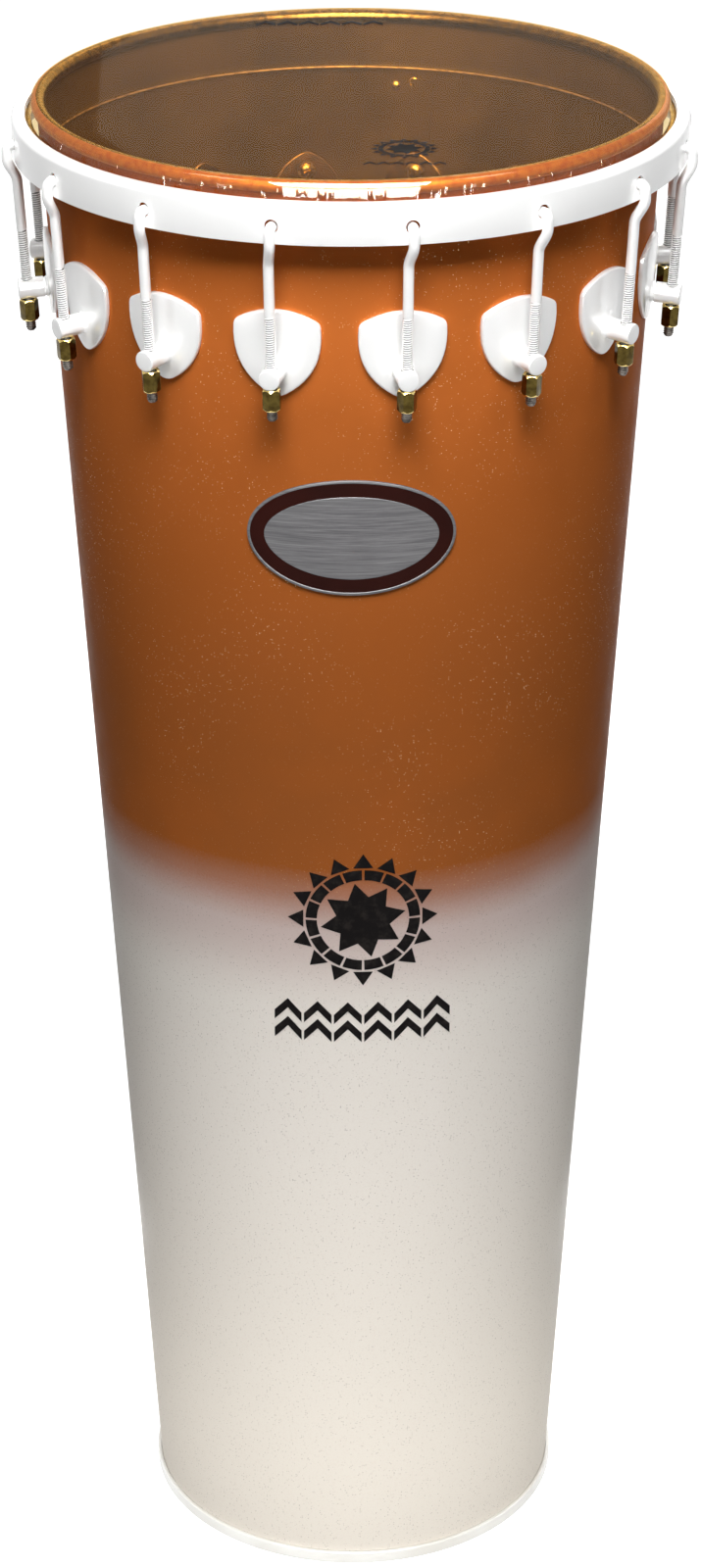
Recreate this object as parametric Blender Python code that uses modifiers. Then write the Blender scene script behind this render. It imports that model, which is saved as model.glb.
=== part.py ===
"""Timbal: a tall tapered Brazilian hand drum, 14 inch head, 90 cm tall.

The sheet metal shell stands on a base rim. A clear film head lies over the rolled bead at the top.
A tension hoop holds the head's flesh hoop down. Sixteen hooks pull the hoop down through the posts
of sixteen lugs, each with a long hexagonal nut.

Metres, +Z up, origin at the middle of the base, front (with the badge) towards -Y.
"""

import math

import bmesh
import bpy
from mathutils import Matrix, Vector

# Whole drum
HEIGHT = 0.900
SEGMENTS = 48
GAP = 0.0003

# Shell
SHELL_BASE_RADIUS = 0.1235
SHELL_FLARE = 0.0553
SHELL_WALL = 0.0012
BEAD_TUBE_RADIUS = 0.0040
BEAD_INSET = 0.0010
BEAD_POINTS = 9

# Head
FILM_THICKNESS = 0.0003
COLLAR_FLARE = 0.0025
FLESH_HOOP_HEIGHT = 0.0060
FLESH_HOOP_WIDTH = 0.0060
FLESH_GROOVE_DEPTH = 0.0024
FLESH_LIP_DROP = 0.0012

# Base rim
RIM_HEIGHT = 0.0078
RIM_WIDTH = 0.0023
RIM_LIP_THICKNESS = 0.0014
RIM_LIP_REACH = 0.0031
RIM_ROUNDING = 0.0008

# Tension hoop
HOOP_CLEARANCE = 0.0037
HOOP_WALL = 0.0016
HOOP_DROP = 0.0095
HOOP_HEIGHT = 0.0220
HOOP_FLANGE_CLEARANCE = 0.0006
HOOP_FLANGE_RISE = 0.0006
HOOP_SHOULDER = 0.0028
HOOP_INNER_ROUNDING = 0.0012
HOOK_HOLE_CLEARANCE = 0.0008
HOOK_HOLE_HEIGHT = 0.0095

# Lugs
LUG_COUNT = 16
LUG_PHASE = math.radians(-170.79)
LUG_DROP = 0.0732
PLATE_WIDTH = 0.0462
PLATE_ABOVE = 0.0255
PLATE_CROWN = 0.0072
PLATE_BELOW = 0.0170
PLATE_SIDE_BULGE = 0.0088
PLATE_CORNER = 0.0036
PLATE_THICKNESS = 0.0035
PLATE_EDGE = 0.0012
POST_RADIUS = 0.0058
POST_LENGTH = 0.0200
POST_NECK_RADIUS = 0.0051
POST_NECK_LENGTH = 0.0058
POST_BEVEL = 0.0007
ROD_STANDOFF = 0.0148
ROD_HOLE_CLEARANCE = 0.0007
STUD_RADIUS = 0.0023
STUD_SPACING = 0.0170
STUD_CLEARANCE = 0.0008
SCREW_HEAD_RADIUS = 0.0042
SCREW_HEAD_HEIGHT = 0.0026
BACKING_WIDTH = 0.0360
BACKING_ABOVE = 0.0150
BACKING_CROWN = 0.0062
BACKING_BELOW = 0.0150
BACKING_SIDE_BULGE = 0.0060
BACKING_CORNER = 0.0050
BACKING_THICKNESS = 0.0020
CUT_MARGIN = 0.0100

# Hooks
ROD_RADIUS = 0.0029
HOOK_STANDOFF = 0.0008
HOOK_BEND_RADIUS = 0.0038
HOOK_REACH = 0.0022
HOOK_KINK = 0.0125
HOOK_RISE = 0.0012
HOOK_SWEEP = (0.37, 0.70)
HOOK_SIDESTEP = 0.0020
THREAD_BELOW_NUT = 0.0064

# Nuts
NUT_ACROSS_FLATS = 0.0093
NUT_LENGTH = 0.0120
NUT_BORE_CLEARANCE = 0.0005
NUT_CHAMFER = 0.0009

# Badge
BADGE_WIDTH = 0.1120
BADGE_HEIGHT = 0.0680
BADGE_THICKNESS = 0.0010
BADGE_DROP = 0.0973
BADGE_SIDES = 28

# Places that follow from the sizes
LEAN = math.atan(SHELL_FLARE)
RIM_SEAT = RIM_LIP_THICKNESS + GAP
BEAD_CENTRE_HEIGHT = HEIGHT - FILM_THICKNESS - GAP - BEAD_TUBE_RADIUS
BEAD_CENTRE_RADIUS = SHELL_BASE_RADIUS + SHELL_FLARE * BEAD_CENTRE_HEIGHT - BEAD_INSET
FILM_INNER_ROLL = BEAD_TUBE_RADIUS + GAP
FILM_OUTER_ROLL = FILM_INNER_ROLL + FILM_THICKNESS
HOOP_TOP = HEIGHT - HOOP_DROP
HOOP_BOTTOM = HOOP_TOP - HOOP_HEIGHT
FLESH_TOP = HOOP_TOP - HOOP_WALL - GAP
COLLAR_FOOT_RADIUS = BEAD_CENTRE_RADIUS + FILM_OUTER_ROLL + COLLAR_FLARE
FLESH_MIDDLE_RADIUS = COLLAR_FOOT_RADIUS - FILM_THICKNESS / 2
FLESH_OUTER_RADIUS = FLESH_MIDDLE_RADIUS + FLESH_HOOP_WIDTH / 2
HOOP_RADIUS = FLESH_OUTER_RADIUS + HOOP_CLEARANCE + HOOP_WALL
HOOK_HOLE_CENTRE = HOOP_BOTTOM + HOOK_HOLE_HEIGHT
HOOK_HOLE_RADIUS = ROD_RADIUS + HOOK_HOLE_CLEARANCE
ROD_HOLE_RADIUS = ROD_RADIUS + ROD_HOLE_CLEARANCE
NUT_BORE_RADIUS = ROD_RADIUS + NUT_BORE_CLEARANCE
LUG_HEIGHT = HOOP_BOTTOM - LUG_DROP
BADGE_CENTRE = LUG_HEIGHT - BADGE_DROP
NUT_TOP = -POST_RADIUS - GAP
ROD_BOTTOM = NUT_TOP - NUT_LENGTH - THREAD_BELOW_NUT


def shell_radius(z):
    """Outer radius of the tapered shell at height z."""
    return SHELL_BASE_RADIUS + SHELL_FLARE * z


def clear_scene():
    for obj in list(bpy.data.objects):
        bpy.data.objects.remove(obj, do_unlink=True)


def new_collection(name):
    collection = bpy.data.collections.new(name)
    bpy.context.scene.collection.children.link(collection)
    return collection


def new_material(name, colour, roughness, metallic, alpha=1.0):
    material = bpy.data.materials.new(name)
    material.use_nodes = True
    shader = material.node_tree.nodes["Principled BSDF"]
    shader.inputs["Base Color"].default_value = (*colour, 1.0)
    shader.inputs["Roughness"].default_value = roughness
    shader.inputs["Metallic"].default_value = metallic
    shader.inputs["Alpha"].default_value = alpha
    material.diffuse_color = (*colour, alpha)
    return material


def new_object(name, data, collection, material=None):
    obj = bpy.data.objects.new(name, data)
    collection.objects.link(obj)
    if material is not None:
        data.materials.clear()
        data.materials.append(material)
    return obj


def evaluated_mesh(obj, name):
    """The object's mesh with its modifiers, welded, in the object's own coordinates."""
    bpy.context.view_layer.update()
    graph = bpy.context.evaluated_depsgraph_get()
    mesh = bpy.data.meshes.new_from_object(obj.evaluated_get(graph))
    mesh.name = name
    edit = bmesh.new()
    edit.from_mesh(mesh)
    bmesh.ops.remove_doubles(edit, verts=edit.verts, dist=0.000002)
    edit.to_mesh(mesh)
    edit.free()
    return mesh


def as_mesh_object(curve_object, collection):
    """A curve object replaced by a mesh object of the same name and place."""
    name = curve_object.name
    mesh = evaluated_mesh(curve_object, name)
    place = curve_object.matrix_world.copy()
    bpy.data.objects.remove(curve_object, do_unlink=True)
    obj = new_object(name, mesh, collection)
    obj.matrix_world = place
    return obj


def smooth(mesh, angle=35.0):
    mesh.shade_smooth()
    mesh.set_sharp_from_angle(angle=math.radians(angle))


def as_cutter(obj):
    obj.hide_render = True
    obj.display_type = "WIRE"
    return obj


def add_boolean(obj, other, operation):
    modifier = obj.modifiers.new(operation.title(), "BOOLEAN")
    modifier.operation = operation
    modifier.object = other
    modifier.solver = "EXACT"
    return modifier


def turned(name, profile, collection, steps=SEGMENTS, closed=True):
    """An object turned about Z from a profile of (radius, height) points."""
    edges = [(i, i + 1) for i in range(len(profile) - 1)]
    if closed:
        edges.append((len(profile) - 1, 0))
    mesh = bpy.data.meshes.new(name)
    mesh.from_pydata([(r, 0.0, z) for r, z in profile], edges, [])
    obj = new_object(name, mesh, collection)
    screw = obj.modifiers.new("Turn", "SCREW")
    screw.axis = "Z"
    screw.angle = 2 * math.pi
    screw.steps = steps
    screw.render_steps = steps
    screw.use_merge_vertices = True
    screw.merge_threshold = 0.00001
    screw.use_smooth_shade = True
    return obj


def arc(centre, radius, start, end, count):
    """Points of an arc in the (radius, height) plane, angles in degrees, both ends included."""
    points = []
    for i in range(count):
        angle = math.radians(start + (end - start) * i / (count - 1))
        points.append((centre[0] + radius * math.cos(angle), centre[1] + radius * math.sin(angle)))
    return points


def bulged(start, end, sagitta, trim, count):
    """Points from start to end on a shallow arc that bulges to the left of the way by sagitta, less trim at each end."""
    along = end - start
    side = Vector((-along.y, along.x)).normalized()
    share = trim / along.length
    points = []
    for i in range(count):
        t = share + (1 - 2 * share) * i / (count - 1)
        points.append(start + along * t + side * sagitta * 4 * t * (1 - t))
    return points


def shield_outline(width, above, crown, below, bulge, corner, count):
    """A shield: a crowned top edge and two full sides that meet in a rounded point below."""
    left = Vector((-width / 2, above))
    right = Vector((width / 2, above))
    foot = Vector((0.0, -below))
    sides = [
        bulged(right, left, -crown, corner, count),
        bulged(left, foot, -bulge, corner, count),
        bulged(foot, right, -bulge, corner, count),
    ]
    outline = []
    for side, following, tip in zip(sides, sides[1:] + sides[:1], (left, foot, right)):
        outline += side
        outline.append(tip / 2 + (side[-1] + following[0]) / 4)
    return outline


def prism(name, outline, depth, collection):
    """A flat outline in local X and Y, extruded by half its depth each way."""
    curve = bpy.data.curves.new(name, "CURVE")
    curve.dimensions = "2D"
    curve.fill_mode = "BOTH"
    curve.extrude = depth / 2
    spline = curve.splines.new("POLY")
    spline.points.add(len(outline) - 1)
    for point, place in zip(spline.points, outline):
        point.co = (place[0], place[1], 0.0, 1.0)
    spline.use_cyclic_u = True
    return new_object(name, curve, collection)


def cone_skin(name, inner_offset, outer_offset, low, high, collection):
    """A layer that follows the shell: its two surfaces lie at these distances from the shell's."""
    profile = [
        (shell_radius(high) + outer_offset, high),
        (shell_radius(low) + outer_offset, low),
        (shell_radius(low) + inner_offset, low),
        (shell_radius(high) + inner_offset, high),
    ]
    return turned(name, profile, collection)


def cylinder_mesh(name, radius, length, sides, collection):
    """A closed cylinder along local Z, centred on its origin."""
    mesh = bpy.data.meshes.new(name)
    edit = bmesh.new()
    bmesh.ops.create_cone(
        edit, cap_ends=True, segments=sides, radius1=radius, radius2=radius, depth=length
    )
    edit.to_mesh(mesh)
    edit.free()
    return new_object(name, mesh, collection)


def station_matrix(index):
    """The place of a lug: on the shell's surface, X outward from it, Z up along its slant."""
    turn = Matrix.Rotation(LUG_PHASE + 2 * math.pi * index / LUG_COUNT, 4, "Z")
    reach = Matrix.Translation((shell_radius(LUG_HEIGHT), 0.0, LUG_HEIGHT))
    return turn @ reach @ Matrix.Rotation(LEAN, 4, "Y")


def first_station():
    """A lug's place before it is turned to its own bearing."""
    reach = Matrix.Translation((shell_radius(LUG_HEIGHT), 0.0, LUG_HEIGHT))
    return reach @ Matrix.Rotation(LEAN, 4, "Y")


def facing_out():
    """Turns a flat outline (X across, Y up) to stand on the shell with its depth along local X."""
    return Matrix(((0, 0, 1, 0), (1, 0, 0, 0), (0, 1, 0, 0), (0, 0, 0, 1)))


def along_x():
    """Turns a piece made along Z to lie along X."""
    return Matrix.Rotation(math.pi / 2, 4, "Y")


def make_shell(parts, helpers, material):
    outer_angle = -math.degrees(math.acos(BEAD_INSET / BEAD_TUBE_RADIUS))
    inner_angle = -math.degrees(math.acos((BEAD_INSET - SHELL_WALL) / BEAD_TUBE_RADIUS))
    centre = (BEAD_CENTRE_RADIUS, BEAD_CENTRE_HEIGHT)
    profile = arc(centre, BEAD_TUBE_RADIUS, inner_angle, outer_angle - 360, BEAD_POINTS)
    rows = [LUG_HEIGHT + STUD_SPACING, LUG_HEIGHT - STUD_SPACING, RIM_SEAT]
    for z in rows:
        profile.append((shell_radius(z), z))
    for z in reversed(rows):
        profile.append((shell_radius(z) - SHELL_WALL, z))
    shell = turned("shell", profile, parts)
    shell.rotation_euler.z = LUG_PHASE
    shell.data.materials.append(material)
    holes = bpy.data.meshes.new("stud_holes")
    edit = bmesh.new()
    for index in range(LUG_COUNT):
        for side in (-0.5, 0.5):
            place = Matrix.Rotation(2 * math.pi * index / LUG_COUNT, 4, "Z") @ first_station()
            place = place @ Matrix.Translation((0.0, 0.0, side * STUD_SPACING)) @ along_x()
            bmesh.ops.create_cone(
                edit,
                cap_ends=True,
                segments=6,
                radius1=STUD_RADIUS + STUD_CLEARANCE,
                radius2=STUD_RADIUS + STUD_CLEARANCE,
                depth=SHELL_WALL * 8,
                matrix=place,
            )
    edit.to_mesh(holes)
    edit.free()
    cutter = as_cutter(new_object("stud_holes", holes, helpers))
    cutter.rotation_euler.z = LUG_PHASE
    add_boolean(shell, cutter, "DIFFERENCE")
    return shell


def make_base_rim(parts, material):
    seat = RIM_SEAT
    inside = shell_radius(seat) + GAP
    outside = inside + RIM_WIDTH
    profile = [
        (shell_radius(RIM_HEIGHT) + GAP, RIM_HEIGHT),
        (outside - RIM_ROUNDING, RIM_HEIGHT),
        (outside, RIM_HEIGHT - RIM_ROUNDING),
        (outside, RIM_ROUNDING),
        (outside - RIM_ROUNDING, 0.0),
        (shell_radius(seat) - RIM_LIP_REACH, 0.0),
        (shell_radius(seat) - RIM_LIP_REACH, RIM_LIP_THICKNESS),
        (inside, RIM_LIP_THICKNESS),
    ]
    rim = turned("base_rim", profile, parts)
    rim.rotation_euler.z = LUG_PHASE
    rim.data.materials.append(material)
    return rim


def collar_points(offset, foot):
    """The film's collar below the roll, offset inwards, from its top to its foot in the groove."""
    top = (BEAD_CENTRE_RADIUS + FILM_OUTER_ROLL - offset, BEAD_CENTRE_HEIGHT)
    knee = (COLLAR_FOOT_RADIUS - offset, FLESH_TOP - GAP)
    return [top, knee, (COLLAR_FOOT_RADIUS - offset, foot)]


def make_drumhead(parts, material):
    centre = (BEAD_CENTRE_RADIUS, BEAD_CENTRE_HEIGHT)
    foot = FLESH_TOP - FLESH_GROOVE_DEPTH + GAP
    outer = arc(centre, FILM_OUTER_ROLL, 90, 0, 4)
    inner = arc(centre, FILM_INNER_ROLL, 0, 90, 4)
    profile = [(0.0, HEIGHT)] + outer + collar_points(0.0, foot)[1:]
    profile += list(reversed(collar_points(FILM_THICKNESS, foot)))[:-1] + inner
    profile.append((0.0, HEIGHT - FILM_THICKNESS))
    head = turned("drumhead_film", profile, parts, closed=False)
    head.rotation_euler.z = LUG_PHASE
    head.data.materials.append(material)
    return head


def make_flesh_hoop(parts, material):
    groove_out = COLLAR_FOOT_RADIUS + GAP
    groove_in = COLLAR_FOOT_RADIUS - FILM_THICKNESS - GAP
    outside = FLESH_OUTER_RADIUS
    inside = FLESH_MIDDLE_RADIUS - FLESH_HOOP_WIDTH / 2
    floor = FLESH_TOP - FLESH_GROOVE_DEPTH
    bottom = FLESH_TOP - FLESH_HOOP_HEIGHT
    profile = [
        (groove_out, FLESH_TOP),
        (outside, FLESH_TOP),
        (outside, bottom),
        (inside, bottom),
        (inside, FLESH_TOP - FLESH_LIP_DROP),
        (groove_in, FLESH_TOP - FLESH_LIP_DROP),
        (groove_in, floor),
        (groove_out, floor),
    ]
    ring = turned("flesh_hoop", profile, parts)
    ring.rotation_euler.z = LUG_PHASE
    ring.data.materials.append(material)
    return ring


def make_tension_hoop(parts, helpers, material):
    inside = HOOP_RADIUS - HOOP_WALL
    flange = COLLAR_FOOT_RADIUS + HOOP_FLANGE_CLEARANCE
    underside = HOOP_TOP - HOOP_WALL
    turn = (HOOP_RADIUS - HOOP_SHOULDER, HOOP_TOP - HOOP_FLANGE_RISE - HOOP_SHOULDER)
    profile = [(flange, HOOP_TOP)] + arc(turn, HOOP_SHOULDER, 90, 0, 3)
    profile += [
        (HOOP_RADIUS, HOOP_BOTTOM),
        (inside, HOOP_BOTTOM),
        (inside, underside - HOOP_INNER_ROUNDING),
        (inside - HOOP_INNER_ROUNDING, underside),
        (flange, underside),
    ]
    hoop = turned("tension_hoop", profile, parts)
    hoop.rotation_euler.z = LUG_PHASE
    hoop.data.materials.append(material)
    holes = bpy.data.meshes.new("hook_holes")
    edit = bmesh.new()
    for index in range(LUG_COUNT):
        place = Matrix.Rotation(2 * math.pi * index / LUG_COUNT, 4, "Z")
        place = place @ Matrix.Translation((HOOP_RADIUS, HOOK_SIDESTEP, HOOK_HOLE_CENTRE))
        place = place @ along_x()
        bmesh.ops.create_cone(
            edit,
            cap_ends=True,
            segments=8,
            radius1=HOOK_HOLE_RADIUS,
            radius2=HOOK_HOLE_RADIUS,
            depth=HOOP_WALL * 4,
            matrix=place,
        )
    edit.to_mesh(holes)
    edit.free()
    cutter = as_cutter(new_object("hook_holes", holes, helpers))
    cutter.rotation_euler.z = LUG_PHASE
    add_boolean(hoop, cutter, "DIFFERENCE")
    return hoop


def fitted_plate(name, outline, skin, helpers):
    """A flat outline at the first lug's place, cut to the layer of the shell that it lies in."""
    blank = prism(name, outline, PLATE_WIDTH, helpers)
    blank.matrix_world = first_station() @ facing_out()
    blank = as_mesh_object(blank, helpers)
    add_boolean(blank, skin, "INTERSECT")
    return blank


def bevel_front(mesh, place, width):
    """Rounds the edge between the plate's front and its sides."""
    edit = bmesh.new()
    edit.from_mesh(mesh)
    edit.normal_update()
    turn = place.to_3x3()
    edges = []
    for edge in edit.edges:
        if len(edge.link_faces) != 2:
            continue
        facing = sorted((turn @ face.normal).x for face in edge.link_faces)
        if facing[1] > 0.8 and abs(facing[0]) < 0.45:
            edges.append(edge)
    bmesh.ops.bevel(edit, geom=edges, offset=width, segments=1, affect="EDGES", clamp_overlap=True)
    bmesh.ops.remove_doubles(edit, verts=edit.verts, dist=0.00002)
    edit.to_mesh(mesh)
    edit.free()


def make_lug_mesh(helpers):
    """One lug in its own frame: plate and post outside, two studs, backing plate and heads inside."""
    top = LUG_HEIGHT + max(PLATE_ABOVE, BACKING_ABOVE) + PLATE_CROWN + CUT_MARGIN
    low = LUG_HEIGHT - max(PLATE_BELOW, BACKING_BELOW) - CUT_MARGIN
    plate_skin = as_cutter(cone_skin("plate_skin", GAP, GAP + PLATE_THICKNESS, low, top, helpers))
    inner_face = -SHELL_WALL - GAP
    back_skin = as_cutter(
        cone_skin("backing_skin", inner_face - BACKING_THICKNESS, inner_face, low, top, helpers)
    )
    outline = shield_outline(
        PLATE_WIDTH, PLATE_ABOVE, PLATE_CROWN, PLATE_BELOW, PLATE_SIDE_BULGE, PLATE_CORNER, 4
    )
    plate = fitted_plate("plate_blank", outline, plate_skin, helpers)
    world_plate = evaluated_mesh(plate, "plate")
    bevel_front(world_plate, plate.matrix_world, PLATE_EDGE)
    body = new_object("lug_blank", world_plate, helpers)
    body.matrix_world = plate.matrix_world

    root = GAP + PLATE_THICKNESS / 2
    post_profile = [
        (0.0, POST_LENGTH),
        (POST_RADIUS - POST_BEVEL, POST_LENGTH),
        (POST_RADIUS, POST_LENGTH - POST_BEVEL),
        (POST_RADIUS, POST_NECK_LENGTH),
        (POST_NECK_RADIUS, POST_NECK_LENGTH - POST_BEVEL),
        (POST_NECK_RADIUS, root),
        (0.0, root),
    ]
    post = turned("post_blank", post_profile, helpers, steps=8, closed=False)
    post.matrix_world = first_station() @ along_x()
    add_boolean(body, as_cutter(post), "UNION")

    backing = shield_outline(
        BACKING_WIDTH,
        BACKING_ABOVE,
        BACKING_CROWN,
        BACKING_BELOW,
        BACKING_SIDE_BULGE,
        BACKING_CORNER,
        3,
    )
    backing_plate = fitted_plate("backing_blank", backing, back_skin, helpers)
    add_boolean(body, as_cutter(backing_plate), "UNION")
    head_seat = inner_face - BACKING_THICKNESS / 2
    stud_end = inner_face - BACKING_THICKNESS - SCREW_HEAD_HEIGHT / 4
    stud_start = root
    for number, side in enumerate((-0.5, 0.5)):
        stud = cylinder_mesh(
            f"stud_blank_{number}", STUD_RADIUS, stud_start - stud_end, 6, helpers
        )
        middle = Matrix.Translation(((stud_start + stud_end) / 2, 0.0, side * STUD_SPACING))
        stud.matrix_world = first_station() @ middle @ along_x()
        add_boolean(body, as_cutter(stud), "UNION")
        head = cylinder_mesh(
            f"head_blank_{number}", SCREW_HEAD_RADIUS, SCREW_HEAD_HEIGHT, 6, helpers
        )
        bearing = head_seat - SCREW_HEAD_HEIGHT / 2
        head.matrix_world = (
            first_station() @ Matrix.Translation((bearing, 0.0, side * STUD_SPACING)) @ along_x()
        )
        add_boolean(body, as_cutter(head), "UNION")

    hole = cylinder_mesh("rod_hole", ROD_HOLE_RADIUS, POST_RADIUS * 4, 8, helpers)
    hole.matrix_world = first_station() @ Matrix.Translation((ROD_STANDOFF, 0.0, 0.0))
    add_boolean(body, as_cutter(hole), "DIFFERENCE")
    mesh = evaluated_mesh(body, "lug")
    mesh.transform(first_station().inverted() @ body.matrix_world)
    as_cutter(body)
    as_cutter(plate)
    return mesh


def rod_line(z):
    """Distance of the rod's straight part from the drum's axis at height z."""
    return shell_radius(z) + ROD_STANDOFF / math.cos(LEAN)


def hook_path():
    """The hook's middle line as (radius, sideways, height), from its threaded end to its tip."""
    bend = HOOP_RADIUS + ROD_RADIUS + HOOK_STANDOFF
    low = LUG_HEIGHT - ROD_STANDOFF * math.sin(LEAN) + ROD_BOTTOM * math.cos(LEAN)
    seat = HOOK_HOLE_CENTRE - (HOOK_HOLE_RADIUS - ROD_RADIUS - GAP)
    kink = HOOP_BOTTOM - HOOK_KINK
    straight = HOOP_BOTTOM + HOOK_RISE
    points = [(rod_line(low), 0.0, low), (rod_line(kink), 0.0, kink)]
    for t in HOOK_SWEEP:
        share = t * t * (3 - 2 * t)
        radius = rod_line(kink) + (bend - rod_line(kink)) * share
        points.append((radius, HOOK_SIDESTEP * share, kink + (straight - kink) * t))
    points.append((bend, HOOK_SIDESTEP, straight))
    turn = (bend - HOOK_BEND_RADIUS, seat - HOOK_BEND_RADIUS)
    points += [(r, HOOK_SIDESTEP, z) for r, z in arc(turn, HOOK_BEND_RADIUS, 12, 90, 4)]
    points.append((HOOP_RADIUS - HOOP_WALL - HOOK_REACH, HOOK_SIDESTEP, seat))
    return points


def make_hook(name, index, parts, material):
    curve = bpy.data.curves.new(name, "CURVE")
    curve.dimensions = "3D"
    curve.bevel_depth = ROD_RADIUS
    curve.bevel_resolution = 2
    curve.use_fill_caps = True
    spline = curve.splines.new("POLY")
    back = first_station().inverted()
    path = [back @ Vector(point) for point in hook_path()]
    spline.points.add(len(path) - 1)
    for point, place in zip(spline.points, path):
        point.co = (*place, 1.0)
    obj = new_object(name, curve, parts, material)
    obj.matrix_world = station_matrix(index)
    return obj


def make_nut_mesh(helpers):
    """A long hexagonal nut along Z, its origin at its middle, with chamfered ends and a bore."""
    corner = NUT_ACROSS_FLATS / math.sqrt(3)
    nut = cylinder_mesh("nut_blank", corner, NUT_LENGTH, 6, helpers)
    edit = bmesh.new()
    edit.from_mesh(nut.data)
    ends = [edge for edge in edit.edges if abs(edge.verts[0].co.z - edge.verts[1].co.z) < 1e-6]
    bmesh.ops.bevel(edit, geom=ends, offset=NUT_CHAMFER, segments=1, affect="EDGES")
    edit.to_mesh(nut.data)
    edit.free()
    bore = cylinder_mesh("nut_bore", NUT_BORE_RADIUS, NUT_LENGTH * 2, 8, helpers)
    add_boolean(nut, as_cutter(bore), "DIFFERENCE")
    mesh = evaluated_mesh(nut, "tension_nut")
    as_cutter(nut)
    return mesh


def make_badge(parts, helpers, material):
    """A thin oval plate, bent to the shell's front."""
    outline = []
    for i in range(BADGE_SIDES):
        angle = 2 * math.pi * i / BADGE_SIDES
        outline.append((BADGE_WIDTH / 2 * math.cos(angle), BADGE_HEIGHT / 2 * math.sin(angle)))
    blank = prism("badge", outline, BADGE_WIDTH, helpers)
    front = Matrix.Rotation(-math.pi / 2, 4, "Z")
    place = Matrix.Translation((shell_radius(BADGE_CENTRE), 0.0, BADGE_CENTRE))
    blank.matrix_world = front @ place @ Matrix.Rotation(LEAN, 4, "Y") @ facing_out()
    blank = as_mesh_object(blank, parts)
    low = BADGE_CENTRE - BADGE_HEIGHT
    high = BADGE_CENTRE + BADGE_HEIGHT
    skin = as_cutter(cone_skin("badge_skin", GAP, GAP + BADGE_THICKNESS, low, high, helpers))
    skin.rotation_euler.z = LUG_PHASE
    add_boolean(blank, skin, "INTERSECT")
    blank.data.materials.append(material)
    return blank


def main():
    clear_scene()
    parts = new_collection("timbal_drum")
    helpers = new_collection("cutters")
    shell_paint = new_material("shell_paint", (0.60, 0.25, 0.07), 0.35, 0.0)
    rim_paint = new_material("rim_paint", (0.86, 0.86, 0.84), 0.35, 0.0)
    film = new_material("head_film", (0.55, 0.33, 0.12), 0.08, 0.0, alpha=0.35)
    flesh_metal = new_material("flesh_hoop_metal", (0.70, 0.70, 0.70), 0.35, 1.0)
    hoop_paint = new_material("hoop_paint", (0.90, 0.90, 0.90), 0.30, 0.0)
    lug_paint = new_material("lug_paint", (0.90, 0.90, 0.90), 0.32, 0.0)
    hook_paint = new_material("hook_paint", (0.90, 0.90, 0.90), 0.30, 0.0)
    nut_brass = new_material("nut_brass", (0.42, 0.31, 0.10), 0.30, 1.0)
    badge_metal = new_material("badge_metal", (0.55, 0.55, 0.55), 0.38, 1.0)

    make_shell(parts, helpers, shell_paint)
    make_base_rim(parts, rim_paint)
    make_drumhead(parts, film)
    make_flesh_hoop(parts, flesh_metal)
    make_tension_hoop(parts, helpers, hoop_paint)
    make_badge(parts, helpers, badge_metal)

    lug_mesh = make_lug_mesh(helpers)
    smooth(lug_mesh)
    lug_mesh.materials.append(lug_paint)
    nut_mesh = make_nut_mesh(helpers)
    smooth(nut_mesh, 25.0)
    nut_mesh.materials.append(nut_brass)
    for index in range(LUG_COUNT):
        number = f"{index + 1:02d}"
        station = bpy.data.objects.new(f"station_{number}", None)
        station.empty_display_size = 0.01
        station.matrix_world = station_matrix(index)
        parts.objects.link(station)
        bpy.context.view_layer.update()
        lug = new_object(f"lug_{number}", lug_mesh, parts)
        lug.parent = station
        hook = make_hook(f"hook_{number}", index, parts, hook_paint)
        hook.matrix_world = Matrix.Identity(4)
        hook.parent = station
        nut = new_object(f"nut_{number}", nut_mesh, parts)
        nut.parent = station
        nut.location = (ROD_STANDOFF, 0.0, NUT_TOP - NUT_LENGTH / 2)


if __name__ == "__main__":
    main()
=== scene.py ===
"""Timbal drum: the finished look of a tall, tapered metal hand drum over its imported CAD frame.

The sheet metal shell, its base rim, the film head, the tension hoop, sixteen lugs with their hooks and
nuts, and the badge are modelled as a maker would build them, each with its own finish.
Metres, +Z up, front towards -Y.
"""

import logging
import math
from collections.abc import Callable, Iterator, Sequence
from contextlib import contextmanager
from dataclasses import dataclass
from enum import Enum

import bpy
from mathutils import Matrix, Vector


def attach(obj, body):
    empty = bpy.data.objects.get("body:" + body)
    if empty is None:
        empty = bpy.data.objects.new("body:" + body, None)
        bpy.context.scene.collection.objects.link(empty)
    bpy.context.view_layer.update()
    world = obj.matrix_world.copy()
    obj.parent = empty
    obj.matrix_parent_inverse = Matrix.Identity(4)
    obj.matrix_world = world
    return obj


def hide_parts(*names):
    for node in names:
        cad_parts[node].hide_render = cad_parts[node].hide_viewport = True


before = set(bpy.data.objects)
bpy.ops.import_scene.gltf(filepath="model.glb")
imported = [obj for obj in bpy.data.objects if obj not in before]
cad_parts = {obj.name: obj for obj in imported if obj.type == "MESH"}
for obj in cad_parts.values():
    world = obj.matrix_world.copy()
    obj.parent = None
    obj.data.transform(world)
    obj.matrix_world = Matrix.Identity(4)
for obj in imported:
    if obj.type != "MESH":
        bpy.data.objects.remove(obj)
bpy.ops.object.select_all(action="DESELECT")
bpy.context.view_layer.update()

LOG = logging.getLogger("timbal")
DOUBLED = 2e-6
Piece = bpy.types.Object
Material = bpy.types.Material
Socket = bpy.types.NodeSocket
Colour = tuple[float, float, float]
Pairs = Sequence[tuple[float, float]]
Outline = Pairs
FaceTest = Callable[[Vector, Vector], bool]


# Hand tools


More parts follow.
